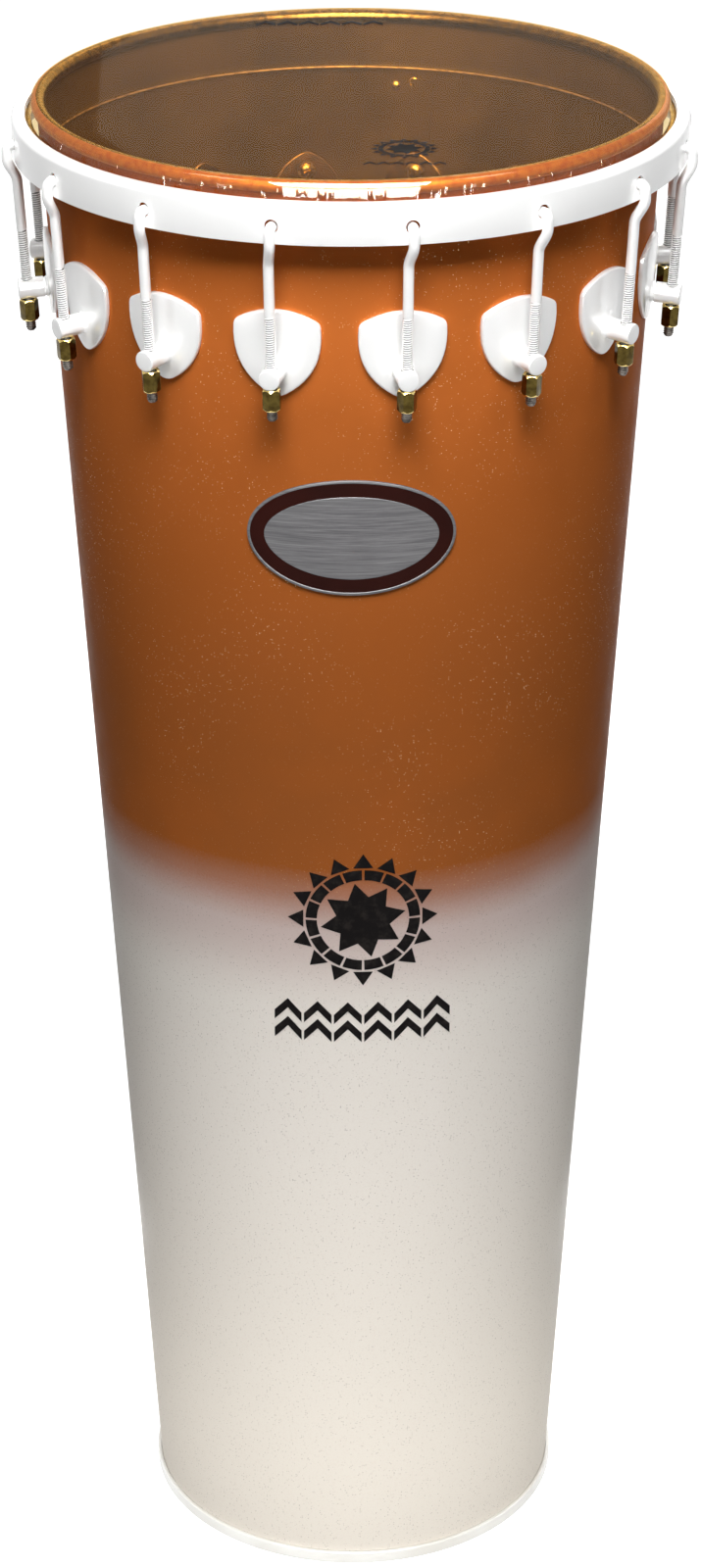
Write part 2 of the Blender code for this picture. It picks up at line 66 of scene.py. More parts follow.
class Pick(Enum):
    """What is picked in edit mode."""

    VERTS = "VERT"
    FACES = "FACE"


class Carving(Enum):
    """What a carving tool does to a piece."""

    CUT = "DIFFERENCE"
    FUSE = "UNION"
    TRIM = "INTERSECT"


def tone(red: int, green: int, blue: int) -> Colour:
    """Turns an 8-bit screen colour into the linear one that a shader takes.

    Args:
        red, green, blue: the channels, 0 to 255.

    Returns:
        The linear colour.
    """
    return tuple(
        (v / 12.92 if v <= 0.04045 else ((v + 0.055) / 1.055) ** 2.4)
        for v in (red / 255, green / 255, blue / 255)
    )


def hold(*pieces: Piece) -> Piece:
    """Selects these pieces and nothing else.

    Args:
        pieces: the pieces; the first becomes the active one.

    Returns:
        The active piece.
    """
    bpy.ops.object.select_all(action="DESELECT")
    for piece in pieces:
        piece.select_set(True)
    bpy.context.view_layer.objects.active = pieces[0]
    return pieces[0]


def fresh(name: str, primitive: Callable[..., set], **settings: object) -> Piece:
    """Adds one of Blender's ready-made shapes.

    Args:
        name: the new piece's name.
        primitive: the operator that adds the shape.
        settings: the operator's settings.

    Returns:
        The new piece.
    """
    bpy.ops.object.select_all(action="DESELECT")
    primitive(**settings)
    piece = bpy.context.active_object
    piece.name = piece.data.name = name
    return piece


@contextmanager
def editing(piece: Piece, pick: Pick = Pick.VERTS, whole: bool = True) -> Iterator[None]:
    """Edit mode on one piece, as long as the block lasts.

    Args:
        piece: the piece to edit.
        pick: what its selection works on.
        whole: whether all of it is selected, and not only what was marked.

    Yields:
        Nothing.
    """
    hold(piece)
    bpy.ops.object.mode_set(mode="EDIT")
    bpy.ops.mesh.select_mode(type=pick.value)
    if whole:
        bpy.ops.mesh.select_all(action="SELECT")
    yield
    bpy.ops.object.mode_set(mode="OBJECT")


def pull(move: Sequence[float]) -> None:
    """Extrudes what is selected in edit mode by a move."""
    bpy.ops.mesh.extrude_region_move(TRANSFORM_OT_translate={"value": move})


def ring_in(share: float, middle: Sequence[float], rise: float = 0.0) -> None:
    """Extrudes the selected face and shrinks it, in edit mode, which leaves a ring of faces round it.

    Args:
        share: its new size against the old one.
        middle: the point that it shrinks towards.
        rise: how far it comes to the front.
    """
    pull((0.0, -rise, 0.0))
    bpy.ops.transform.resize(value=(share, 1.0, share), center_override=middle)


def step_in(width: float, rise: float = 0.0) -> None:
    """Insets the selected face, in edit mode, and moves it to the front.

    Args:
        width: how wide the new border is.
        rise: how far it comes to the front.
    """
    bpy.ops.mesh.inset(thickness=width, use_even_offset=True)
    bpy.ops.transform.translate(value=(0.0, -rise, 0.0))


def mark(piece: Piece, test: FaceTest) -> None:
    """Marks the faces that pass a test, and nothing else, for the next edit.

    Args:
        piece: the piece, in object mode.
        test: takes a face's centre and normal.
    """
    mesh = piece.data
    for group in (mesh.vertices, mesh.edges, mesh.polygons):
        group.foreach_set("select", [False] * len(group))
    for face in mesh.polygons:
        if test(face.center, face.normal):
            face.select = True


def settle(piece: Piece) -> Piece:
    """Puts a piece's place, turn and size into its mesh, so that its object sits at the origin."""
    hold(piece)
    bpy.ops.object.transform_apply(location=True, rotation=True, scale=True)
    return piece


def put(piece: Piece, place: Matrix) -> Piece:
    """Moves a piece to its place and settles it there."""
    piece.matrix_world = place
    return settle(piece)


def tidy_normals(piece: Piece, merge: float = DOUBLED) -> Piece:
    """Merges doubled points and turns every face outwards.

    Args:
        piece: a closed piece.
        merge: how close doubled points lie.

    Returns:
        The same piece.
    """
    with editing(piece):
        bpy.ops.mesh.remove_doubles(threshold=merge)
        bpy.ops.mesh.normals_make_consistent(inside=False)
    return piece


def trace(name: str, points: Sequence[Vector]) -> Piece:
    """Draws a line by pulling one point from place to place.

    Args:
        name: the piece's name.
        points: the line's points; a line that ends where it starts is joined there.

    Returns:
        The line, with the whole of it in its mesh.
    """
    line = fresh(name, bpy.ops.mesh.primitive_plane_add, size=0.001, location=points[0])
    with editing(line):
        bpy.ops.mesh.merge(type="CENTER")
        for start, end in zip(points, points[1:]):
            pull(end - start)
        bpy.ops.mesh.select_all(action="SELECT")
        bpy.ops.mesh.remove_doubles(threshold=DOUBLED)
    return settle(line)


def turn(name: str, profile: Outline, steps: int, facing: bool = False) -> Piece:
    """Turns a profile on the lathe.

    Args:
        name: the piece's name.
        profile: (radius, place along the axis) points. A ring's profile ends where it starts, and a
            solid's starts and ends on the axis.
        steps: how many steps make the full turn.
        facing: whether the lathe's axis is -Y instead of +Z.

    Returns:
        The closed piece.
    """
    if facing:
        axis = (0.0, -1.0, 0.0)
        points = [Vector((radius, -along, 0.0)) for radius, along in profile]
    else:
        axis = (0.0, 0.0, 1.0)
        points = [Vector((0.0, -radius, along)) for radius, along in profile]
    piece = trace(name, points)
    with editing(piece):
        bpy.ops.mesh.spin(steps=steps, angle=2 * math.pi, center=(0.0, 0.0, 0.0), axis=axis)
    return tidy_normals(piece)


def modify(piece: Piece, kind: str, **settings: object) -> Piece:
    """Runs one modifier on a piece for good.

    Args:
        piece: the piece.
        kind: the modifier's type.
        settings: the modifier's settings, in the order in which they are made.

    Returns:
        The same piece.
    """
    hold(piece)
    step = piece.modifiers.new(kind, kind)
    for name, value in settings.items():
        setattr(step, name, value)
    bpy.ops.object.modifier_apply(modifier=step.name)
    return piece


def bend_round(piece: Piece, radius: float) -> Piece:
    """Bends a flat plate that faces -Y round the drum's axis.

    Args:
        piece: the plate, its middle over X = 0.
        radius: the radius that its back takes.

    Returns:
        The bent plate.
    """
    across = [vert.co.x for vert in piece.data.vertices]
    angle = (max(across) - min(across)) / radius
    return modify(piece, "SIMPLE_DEFORM", deform_method="BEND", deform_axis="Z", angle=angle)


def carve(piece: Piece, tool: Piece, how: Carving = Carving.CUT) -> Piece:
    """Cuts a piece with a tool, or joins the two, and puts the tool away.

    Args:
        piece: the piece that stays.
        tool: the other one, which goes.
        how: what the tool does.

    Returns:
        The piece.
    """
    modify(piece, "BOOLEAN", operation=how.value, solver="EXACT", object=tool)
    put_away(tool)
    return piece


def soften(piece: Piece, width: float, angle: float, segments: int = 1) -> Piece:
    """Breaks the sharp edges of a piece.

    Args:
        piece: the piece.
        width: how wide the broken edge is.
        angle: edges sharper than this, in degrees, are broken.
        segments: facets across the broken edge.

    Returns:
        The piece.
    """
    limit = math.radians(angle)
    return modify(
        piece, "BEVEL", width=width, segments=segments, limit_method="ANGLE", angle_limit=limit
    )


def smooth(piece: Piece, angle: float = 35.0) -> Piece:
    """Shades a piece smooth, apart from edges sharper than the angle, in degrees."""
    hold(piece)
    bpy.ops.object.shade_smooth_by_angle(angle=math.radians(angle))
    return piece


def join(name: str, *pieces: Piece) -> Piece:
    """Makes several pieces one.

    Args:
        name: the joined piece's name.
        pieces: the pieces.

    Returns:
        The joined piece.
    """
    whole = hold(*pieces)
    bpy.ops.object.join()
    whole.name = whole.data.name = name
    return whole


def copy_to(piece: Piece, name: str, place: Matrix) -> Piece:
    """Copies a piece with a mesh of its own and puts the copy in place.

    Args:
        piece: the one that was modelled.
        name: the copy's name.
        place: where it goes.

    Returns:
        The copy.
    """
    hold(piece)
    bpy.ops.object.duplicate(linked=False)
    twin = bpy.context.active_object
    twin.name = twin.data.name = name
    return put(twin, place)


def put_away(*pieces: Piece) -> None:
    """Removes pieces that were only copied from or carved with."""
    hold(*pieces)
    bpy.ops.object.delete()


def dress(piece: Piece, *finishes: Material) -> Piece:
    """Gives a piece its finishes, the first one all over.

    Args:
        piece: the piece.
        finishes: its materials, in slot order.

    Returns:
        The piece.
    """
    piece.data.materials.clear()
    for finish in finishes:
        piece.data.materials.append(finish)
    return piece


def paint_where(piece: Piece, slot: int, test: FaceTest) -> Piece:
    """Gives the faces that pass a test another of the piece's finishes.

    Args:
        piece: the piece, with its finishes in their slots.
        slot: the slot that the faces take.
        test: takes a face's centre and normal.

    Returns:
        The piece.
    """
    bpy.context.tool_settings.mesh_select_mode = (False, False, True)
    mark(piece, test)
    piece.active_material_index = slot
    with editing(piece, Pick.FACES, whole=False):
        bpy.ops.object.material_slot_assign()
    return piece


def seat(piece: Piece, body: str, nodes: Sequence[str] = ()) -> None:
    """Sets a finished piece on its CAD body.

    Args:
        piece: the piece.
        body: the body it moves with.
        nodes: the CAD nodes that it stands for.
    """
    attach(piece, body)
    if nodes:
        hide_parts(*nodes)
    faces = sum(len(face.vertices) - 2 for face in piece.data.polygons)
    LOG.info("%s: %d triangles, rides on %s", piece.name, faces, body)


# The drum's plan


@dataclass(frozen=True)
class Plan:
    """Sizes that several sub-assemblies share, as in the CAD frame, in metres and radians."""

    height: float = 0.900
    gap: float = 0.0003
    base_radius: float = 0.1235
    flare: float = 0.0553
    wall: float = 0.0012
    bead: float = 0.0040
    bead_inset: float = 0.0010
    film: float = 0.0003
    collar_flare: float = 0.0025
    flesh_width: float = 0.0060
    hoop_clearance: float = 0.0037
    hoop_wall: float = 0.0016
    hoop_drop: float = 0.0095
    hoop_height: float = 0.0220
    hook_hole_height: float = 0.0095
    hook_hole_clearance: float = 0.0008
    sidestep: float = 0.0020
    lug_drop: float = 0.0732
    lug_count: int = 16
    lug_phase: float = math.radians(-170.79)
    post_radius: float = 0.0058
    rod_standoff: float = 0.0148
    rod_radius: float = 0.0029
    nut_length: float = 0.0120
    thread_below_nut: float = 0.0064

    @property
    def lean(self) -> float:
        """How far the shell's side leans out, in radians."""
        return math.atan(self.flare)

    @property
    def bead_height(self) -> float:
        """Height of the bead's middle."""
        return self.height - self.film - self.gap - self.bead

    @property
    def bead_centre(self) -> float:
        """Radius of the ring through the bead's middle."""
        return self.shell_radius(self.bead_height) - self.bead_inset

    @property
    def roll(self) -> float:
        """Outer radius of the film's roll over the bead."""
        return self.bead + self.gap + self.film

    @property
    def collar_foot(self) -> float:
        """Outer radius of the film's collar at its foot."""
        return self.bead_centre + self.roll + self.collar_flare

    @property
    def flesh_middle(self) -> float:
        """Radius of the flesh hoop's middle."""
        return self.collar_foot - self.film / 2

    @property
    def hoop_radius(self) -> float:
        """Outer radius of the tension hoop."""
        return self.flesh_middle + self.flesh_width / 2 + self.hoop_clearance + self.hoop_wall

    @property
    def hoop_top(self) -> float:
        """Height of the tension hoop's top."""
        return self.height - self.hoop_drop

    @property
    def hoop_bottom(self) -> float:
        """Height of the tension hoop's lower edge."""
        return self.hoop_top - self.hoop_height

    @property
    def hook_hole(self) -> float:
        """Height of the hook holes' middle."""
        return self.hoop_bottom + self.hook_hole_height

    @property
    def lug_height(self) -> float:
        """Height at which the lug posts stand out of the shell."""
        return self.hoop_bottom - self.lug_drop

    def shell_radius(self, height: float) -> float:
        """Outer radius of the shell at a height."""
        return self.base_radius + self.flare * height

    def on_shell(self, height: float, bearing: float) -> Matrix:
        """The place of a piece that was made facing -Y, set on the shell.

        Args:
            height: where its origin comes.
            bearing: the way it faces, in radians from -Y, anticlockwise from above.

        Returns:
            The place.
        """
        reach = Matrix.Translation((0.0, -self.shell_radius(height), height))
        return Matrix.Rotation(bearing, 4, "Z") @ reach @ Matrix.Rotation(self.lean, 4, "X")

    def bearing(self, index: int) -> float:
        """The way a lug faces, in radians from -Y, counted from 0 anticlockwise from above."""
        return self.lug_phase + math.pi / 2 + 2 * math.pi * index / self.lug_count

    def stations(self) -> Iterator[tuple[str, Matrix]]:
        """Each lug's number, from 01 anticlockwise from above, with its place."""
        for index in range(self.lug_count):
            yield f"{index + 1:02d}", self.on_shell(self.lug_height, self.bearing(index))

    def to_bench(self, radius: float, aside: float, height: float) -> Vector:
        """A point of the drum in the frame of a lug that lies on the bench, facing -Y.

        Args:
            radius: its distance from the drum's axis.
            aside: how far it lies to the right.
            height: its height on the drum.

        Returns:
            The point on the bench.
        """
        out, up = radius - self.shell_radius(self.lug_height), height - self.lug_height
        sine, cosine = math.sin(self.lean), math.cos(self.lean)
        return Vector((aside, up * sine - out * cosine, out * sine + up * cosine))


def arc(
    centre: tuple[float, float], radius: float, start: float, end: float, count: int
) -> list[tuple[float, float]]:
    """Points of an arc, both ends included.

    Args:
        centre: its middle.
        radius: its radius.
        start, end: its angles, in degrees.
        count: how many points.

    Returns:
        The points.
    """
    angles = [math.radians(start + (end - start) * i / (count - 1)) for i in range(count)]
    return [(centre[0] + radius * math.cos(a), centre[1] + radius * math.sin(a)) for a in angles]


# Finishes


class Bench:
    """A material while its nodes are being wired."""

    def __init__(self, name: str) -> None:
        """Starts a material with its shader and the piece's own coordinates."""
        self.material = bpy.data.materials.new(name)
        self.material.use_nodes = True
        self.tree = self.material.node_tree
        self.shader = self.tree.nodes["Principled BSDF"]
        self.output = self.tree.nodes["Material Output"]
        self.place: Socket = self.add("TexCoord").outputs["Object"]

    def add(self, kind: str, **inputs: Socket | float | Colour) -> bpy.types.Node:
        """Adds a node.

        Args:
            kind: its type, without the ShaderNode in front.
            inputs: values for its sockets, named with _ for each space.

        Returns:
            The node.
        """
        node = self.tree.nodes.new(f"ShaderNode{kind}")
        for name, value in inputs.items():
            self.wire(value, node.inputs[name.replace("_", " ")])
        return node

    def wire(self, source: Socket | float | Colour, target: Socket) -> None:
        """Links a socket to another one, or writes a value on it."""
        if isinstance(source, Socket):
            self.tree.links.new(source, target)
        elif isinstance(source, tuple) and target.type == "RGBA":
            target.default_value = (*source, 1.0)
        else:
            target.default_value = source

    def set(self, **values: Socket | float | Colour) -> None:
        """Sets the shader's sockets, named with _ for each space."""
        for name, value in values.items():
            self.wire(value, self.shader.inputs[name.replace("_", " ")])

    def calc(self, kind: str, *terms: Socket | float, clamp: bool = False) -> Socket:
        """One step of arithmetic.

        Args:
            kind: the Math node's operation.
            terms: its inputs.
            clamp: whether the result is kept from 0 to 1.

        Returns:
            The result.
        """
        node = self.add("Math")
        node.operation = kind
        node.use_clamp = clamp
        for term, socket in zip(terms, node.inputs):
            self.wire(term, socket)
        return node.outputs[0]

    def times(self, first: Socket, second: Socket | float) -> Socket:
        """The product of two values."""
        return self.calc("MULTIPLY", first, second)

    def height(self) -> Socket:
        """The Z of the piece's own coordinates."""
        return self.add("SeparateXYZ", Vector=self.place).outputs["Z"]

    def between(
        self, value: Socket, low: float, high: float, to_low: float = 0.0, to_high: float = 1.0
    ) -> Socket:
        """Eases a value from one range into another.

        Args:
            value: the value.
            low, high: its range.
            to_low, to_high: the range that it goes to.

        Returns:
            The eased value.
        """
        node = self.add("MapRange")
        node.interpolation_type = "SMOOTHSTEP"
        for term, socket in zip((value, low, high, to_low, to_high), node.inputs):
            self.wire(term, socket)
        return node.outputs[0]

    def noise(
        self,
        scale: float,
        detail: float = 2.0,
        rough: float = 0.5,
        stretch: tuple[float, float, float] | None = None,
    ) -> Socket:
        """Cloudy noise from 0 to 1.

        Args:
            scale: how many clouds to a metre.
            detail: how many finer layers it has.
            rough: how strong those are.
            stretch: scales for the coordinates along each axis, if they aren't taken as they are.

        Returns:
            The noise.
        """
        where = self.place
        if stretch:
            where = self.add("Mapping", Vector=self.place, Scale=stretch).outputs[0]
        node = self.add("TexNoise", Vector=where, Scale=scale, Detail=detail, Roughness=rough)
        return node.outputs["Fac"]

    def specks(self, scale: float, reach: float, share: float) -> Socket:
        """Round specks, 1 inside and 0 outside.

        Args:
            scale: how many places for a speck to a metre.
            reach: a speck's radius, as a share of that spacing.
            share: the share of the places that hold one.

        Returns:
            The specks.
        """
        node = self.add("TexVoronoi", Vector=self.place, Scale=scale)
        parts = self.add("SeparateColor", Color=node.outputs["Color"])
        chosen = self.calc("LESS_THAN", parts.outputs[0], share)
        size = self.times(parts.outputs[1], reach)
        return self.times(chosen, self.calc("LESS_THAN", node.outputs["Distance"], size))

    def mix(self, share: Socket | float, first: Socket | Colour, second: Socket | Colour) -> Socket:
        """Mixes two colours.

        Args:
            share: how much of the second.
            first, second: the colours.

        Returns:
            The mixed colour.
        """
        node = self.add("Mix")
        node.data_type = "RGBA"
        colours = [socket for socket in node.inputs if socket.type == "RGBA"]
        for term, socket in zip((share, first, second), (node.inputs[0], *colours)):
            self.wire(term, socket)
        return next(socket for socket in node.outputs if socket.type == "RGBA")

    def ramp(self, value: Socket, stops: Pairs) -> Socket:
        """Maps a value along straight stretches.

        Args:
            value: from 0 to 1.
            stops: (value, result) pairs, lowest first.

        Returns:
            The result.
        """
        node = self.add("ValToRGB", Fac=value)
        marks = node.color_ramp.elements
        while len(marks) < len(stops):
            marks.new(0.5)
        for spot, (at, result) in zip(marks, stops):
            spot.position = at
            spot.color = (result, result, result, 1.0)
        return node.outputs[0]

    def sheen(self, noise: Socket, low: float, high: float) -> None:
        """Lets the roughness wander between two values with a noise."""
        self.set(Roughness=self.between(noise, 0.3, 0.7, low, high))

    def bump(self, height: Socket, depth: float, strength: float) -> None:
        """Gives the surface a relief, over those that it has.

        Args:
            height: from 0 to 1.
            depth: how deep it is, in metres.
            strength: how much of it shows.
        """
        node = self.add("Bump", Strength=strength, Distance=depth, Height=height)
        before = self.shader.inputs["Normal"]
        if before.is_linked:
            self.wire(before.links[0].from_socket, node.inputs["Normal"])
        self.wire(node.outputs[0], before)

    def blend(self, share: float, first: Socket, second: Socket) -> Socket:
        """Mixes two surfaces.

        Args:
            share: how much of the second.
            first, second: the surfaces.

        Returns:
            The mixed surface.
        """
        node = self.add("MixShader")
        for term, socket in zip((share, first, second), node.inputs):
            self.wire(term, socket)
        return node.outputs[0]


@dataclass(frozen=True)
class Enamel:
    """Gloss enamel sprayed on metal: a fine orange peel, a faint drift in tone and rare dust specks."""

    name: str
    colour: Colour
    shaded: Colour
    roughness: float = 0.30
    peel: float = 520.0
    coat: float = 1.0
    coat_ior: float = 1.9
    gloss: float = 0.8

    def mixed(self) -> Material:
        """Mixes the enamel and returns its material."""
        bench = Bench(self.name)
        drift = bench.between(bench.noise(22.0), 0.30, 0.74)
        colour = bench.mix(drift, self.colour, self.shaded)
        dust = bench.specks(260.0, 0.10, 0.03)
        bench.set(Base_Color=bench.mix(bench.times(dust, 0.5), colour, self.shaded))
        bench.sheen(bench.noise(140.0), self.roughness - 0.02, self.roughness + 0.02)
        bench.set(Coat_Weight=self.coat, Coat_Roughness=0.12, Coat_IOR=self.coat_ior)
        bench.set(Specular_IOR_Level=self.gloss, IOR=1.5)
        bench.bump(bench.noise(self.peel, 1.0), 0.00005, 0.06)
        return bench.material


@dataclass(frozen=True)
class FadePaint:
    """The shell's coat: amber-brown glitter paint that fades through a soft mist into pearl white."""

    name: str = "shell_fade_paint"
    amber: Colour = tone(208, 113, 50)
    amber_low: Colour = tone(156, 88, 41)
    cloud: Colour = tone(178, 96, 40)
    # Colour of the glitter flakes, made light enough to serve as their painted glints.
    glitter: Colour = tone(255, 222, 164)
    amber_span: tuple[float, float] = (0.52, 0.84)
    mist: Colour = tone(202, 184, 178)
    pearl: Colour = tone(228, 222, 214)
    pearl_warm: Colour = tone(219, 212, 201)
    pearl_speck: Colour = tone(138, 128, 118)
    pearl_span: tuple[float, float] = (0.02, 0.40)
    fade_top: float = 0.508
    fade_end: float = 0.452
    fade_stops: Pairs = ((0.0, 0.0), (0.22, 0.38), (0.44, 0.76), (0.72, 1.0))
    mist_end: float = 0.392
    mist_overlap: float = 0.006
    wander: float = 0.012
    long_dents: tuple[float, float, float] = (1.0, 1.0, 0.15)

    def mixed(self) -> Material:
        """Mixes the paint and returns its material."""
        bench = Bench(self.name)
        level = bench.height()
        drift = bench.calc("SUBTRACT", bench.noise(7.0, 3.0, 0.55), 0.5)
        height = bench.calc("MULTIPLY_ADD", drift, self.wander, level)
        past_end = bench.calc("SUBTRACT", height, self.fade_end)
        fade = bench.calc("DIVIDE", past_end, self.fade_top - self.fade_end, clamp=True)
        grain = bench.calc("SUBTRACT", bench.noise(900.0, 1.0), 0.5)
        fade = bench.calc("MULTIPLY_ADD", grain, 0.12, fade, clamp=True)
        clouds = bench.between(bench.noise(16.0, 3.0), 0.35, 0.68)
        amber = bench.mix(bench.between(level, *self.amber_span), self.amber_low, self.amber)
        amber = bench.mix(bench.times(clouds, 0.35), amber, self.cloud)
        pearl = bench.mix(bench.between(level, *self.pearl_span), self.pearl_warm, self.pearl)
        mist = bench.between(height, self.mist_end, self.fade_end + self.mist_overlap)
        misty = bench.mix(mist, pearl, self.mist)
        colour = bench.mix(bench.ramp(fade, self.fade_stops), misty, amber)
        swarm = bench.between(bench.noise(9.0), 0.42, 0.66, 0.15, 1.0)
        # Pale specks over the amber: the paint's real glitter flakes, with their glints painted into the
        # colour so they show from every side.
        flakes_and_glints = bench.times(bench.times(bench.specks(1150.0, 0.34, 0.16), swarm), fade)
        colour = bench.mix(bench.times(flakes_and_glints, 0.90), colour, self.glitter)
        on_pearl = bench.times(bench.specks(1100.0, 0.40, 0.26), bench.calc("SUBTRACT", 1.0, fade))
        colour = bench.mix(bench.times(on_pearl, 0.60), colour, self.pearl_speck)
        bench.set(Base_Color=colour, Metallic=bench.times(flakes_and_glints, 0.6))
        bench.set(Specular_IOR_Level=0.002, IOR=1.5)
        bench.sheen(bench.noise(60.0, 3.0), 0.30, 0.40)
        bench.bump(bench.noise(380.0, 1.0), 0.00005, 0.30)
        bench.bump(bench.noise(5.0, stretch=self.long_dents), 0.0008, 0.25)
        return bench.material


@dataclass(frozen=True)
class BareSheet:
    """The unpainted inside of the sheet metal: dull and brown-grey, rolled, with stains and spots."""

    name: str = "bare_sheet_metal"
    colour: Colour = tone(107, 84, 52)
    stain: Colour = tone(84, 63, 36)
    spot: Colour = tone(88, 78, 66)
    rolling: tuple[float, float, float] = (1.0, 1.0, 5.0)

    def mixed(self) -> Material:
        """Mixes the finish and returns its material."""
        bench = Bench(self.name)
        rolled = bench.noise(60.0, 3.0, stretch=self.rolling)
        cloud = bench.between(bench.noise(14.0, 4.0, 0.6), 0.35, 0.72)
        colour = bench.mix(cloud, self.colour, self.stain)
        colour = bench.mix(bench.times(rolled, 0.12), colour, self.stain)
        spots = bench.times(bench.specks(160.0, 0.22, 0.10), 0.5)
        bench.set(Base_Color=bench.mix(spots, colour, self.spot))
        bench.set(Metallic=0.08, Specular_IOR_Level=0.06)
        bench.sheen(rolled, 0.50, 0.60)
        bench.bump(rolled, 0.00008, 0.04)
        return bench.material


@dataclass(frozen=True)
class PlainMetal:
    """A small metal part's finish: tumbled or machined, with fine scratches and cloudy darker patches."""

    name: str
    colour: Colour
    dark: Colour
    roughness: float = 0.30
    metallic: float = 1.0
    scratches: tuple[float, float, float] = (1.0, 1.0, 8.0)

    def mixed(self) -> Material:
        """Mixes the finish and returns its material."""
        bench = Bench(self.name)
        cloud = bench.between(bench.noise(260.0, 3.0), 0.35, 0.70)
        bench.set(Base_Color=bench.mix(cloud, self.colour, self.dark), Metallic=self.metallic)
        scratch = bench.noise(900.0, stretch=self.scratches)
        bench.sheen(scratch, self.roughness - 0.06, self.roughness + 0.10)
        bench.bump(scratch, 0.00003, 0.4)
        return bench.material


@dataclass(frozen=True)
class BrushedPlate:
    """The badge's aluminium: brushed from side to side."""

    name: str = "badge_brushed_metal"
    light: Colour = tone(114, 113, 114)
    dark: Colour = tone(84, 83, 85)
    fine: tuple[float, float, float] = (0.08, 0.08, 4.0)
    coarse: tuple[float, float, float] = (0.3, 0.3, 6.0)

    def mixed(self) -> Material:
        """Mixes the finish and returns its material."""
        bench = Bench(self.name)
        strokes = bench.noise(420.0, 4.0, 0.7, self.fine)
        broad = bench.noise(60.0, stretch=self.coarse)
        both = bench.calc("MULTIPLY_ADD", broad, 0.2, bench.times(strokes, 0.8))
        bench.set(Base_Color=bench.mix(bench.between(both, 0.30, 0.72), self.dark, self.light))
        bench.set(Metallic=0.35, Specular_IOR_Level=0.15)
        bench.sheen(strokes, 0.44, 0.56)
        bench.bump(strokes, 0.00003, 0.2)
        return bench.material


@dataclass(frozen=True)
class AmberFilm:
    """The clear head film: amber, a little hazy, with faint rub marks, and pleated on its collar."""

    name: str = "head_amber_film"
    through: Colour = (0.975, 0.86, 0.62)
    haze: Colour = tone(92, 58, 26)
    haze_pale: Colour = tone(98, 76, 52)
    share: float = 0.10
    gloss: float = 0.10
    shine: float = 0.0
    shine_tone: Colour = (0.94, 1.0, 0.97)
    pleated: bool = False
    pleat_span: tuple[float, float] = (0.8958, 0.8926)
    soft_creases: tuple[float, float, float] = (1.0, 1.0, 0.04)
    sharp_creases: tuple[float, float, float] = (1.0, 1.0, 0.02)

    def mixed(self) -> Material:
        """Mixes the finish and returns its material."""
        bench = Bench(self.name)
        if self.pleated:
            bench.bump(bench.noise(150.0, stretch=self.soft_creases), 0.0004, 0.2)
            foot = bench.between(bench.height(), *self.pleat_span)
            pleats = bench.between(bench.noise(190.0, 1.0, stretch=self.sharp_creases), 0.52, 0.66)
            bench.bump(bench.times(pleats, foot), 0.0012, 0.9)
        cloud = bench.times(bench.between(bench.noise(9.0, 3.0), 0.35, 0.68), 0.4)
        bench.set(Base_Color=bench.mix(cloud, self.haze, self.haze_pale))
        bench.set(Specular_IOR_Level=self.gloss)
        bench.sheen(bench.noise(25.0), 0.015, 0.04)
        clear = bench.add("BsdfTransparent", Color=self.through)
        surface = bench.blend(self.share, clear.outputs[0], bench.shader.outputs[0])
        if self.shine:
            surface = self.polished(bench, surface)
        bench.wire(surface, bench.output.inputs["Surface"])
        return bench.material

    def polished(self, bench: Bench, surface: Socket) -> Socket:
        """Lays a thin mirror over the film, as strong seen from the front as from the side.

        Args:
            bench: the film's material.
            surface: the film without it.

        Returns:
            The polished surface.
        """
        mirror = bench.add("BsdfGlossy", Roughness=0.02, Color=self.shine_tone)
        relief = bench.shader.inputs["Normal"]
        if relief.is_linked:
            bench.wire(relief.links[0].from_socket, mirror.inputs["Normal"])
        return bench.blend(self.shine, surface, mirror.outputs[0])


@dataclass(frozen=True)
class Ink:
    """Screen-printed ink: dense, a little glossy, thinner here and there."""

    name: str
    colour: Colour = tone(22, 20, 20)
    thin: Colour = tone(40, 36, 34)

    def mixed(self) -> Material:
        """Mixes the finish and returns its material."""
        bench = Bench(self.name)
        worn = bench.between(bench.noise(180.0, 4.0, 0.6), 0.45, 0.75)
        bench.set(Base_Color=bench.mix(worn, self.colour, self.thin), Specular_IOR_Level=0.02)
        bench.sheen(bench.noise(90.0), 0.50, 0.64)
        bench.bump(bench.noise(600.0, 1.0), 0.00002, 0.3)
        return bench.material


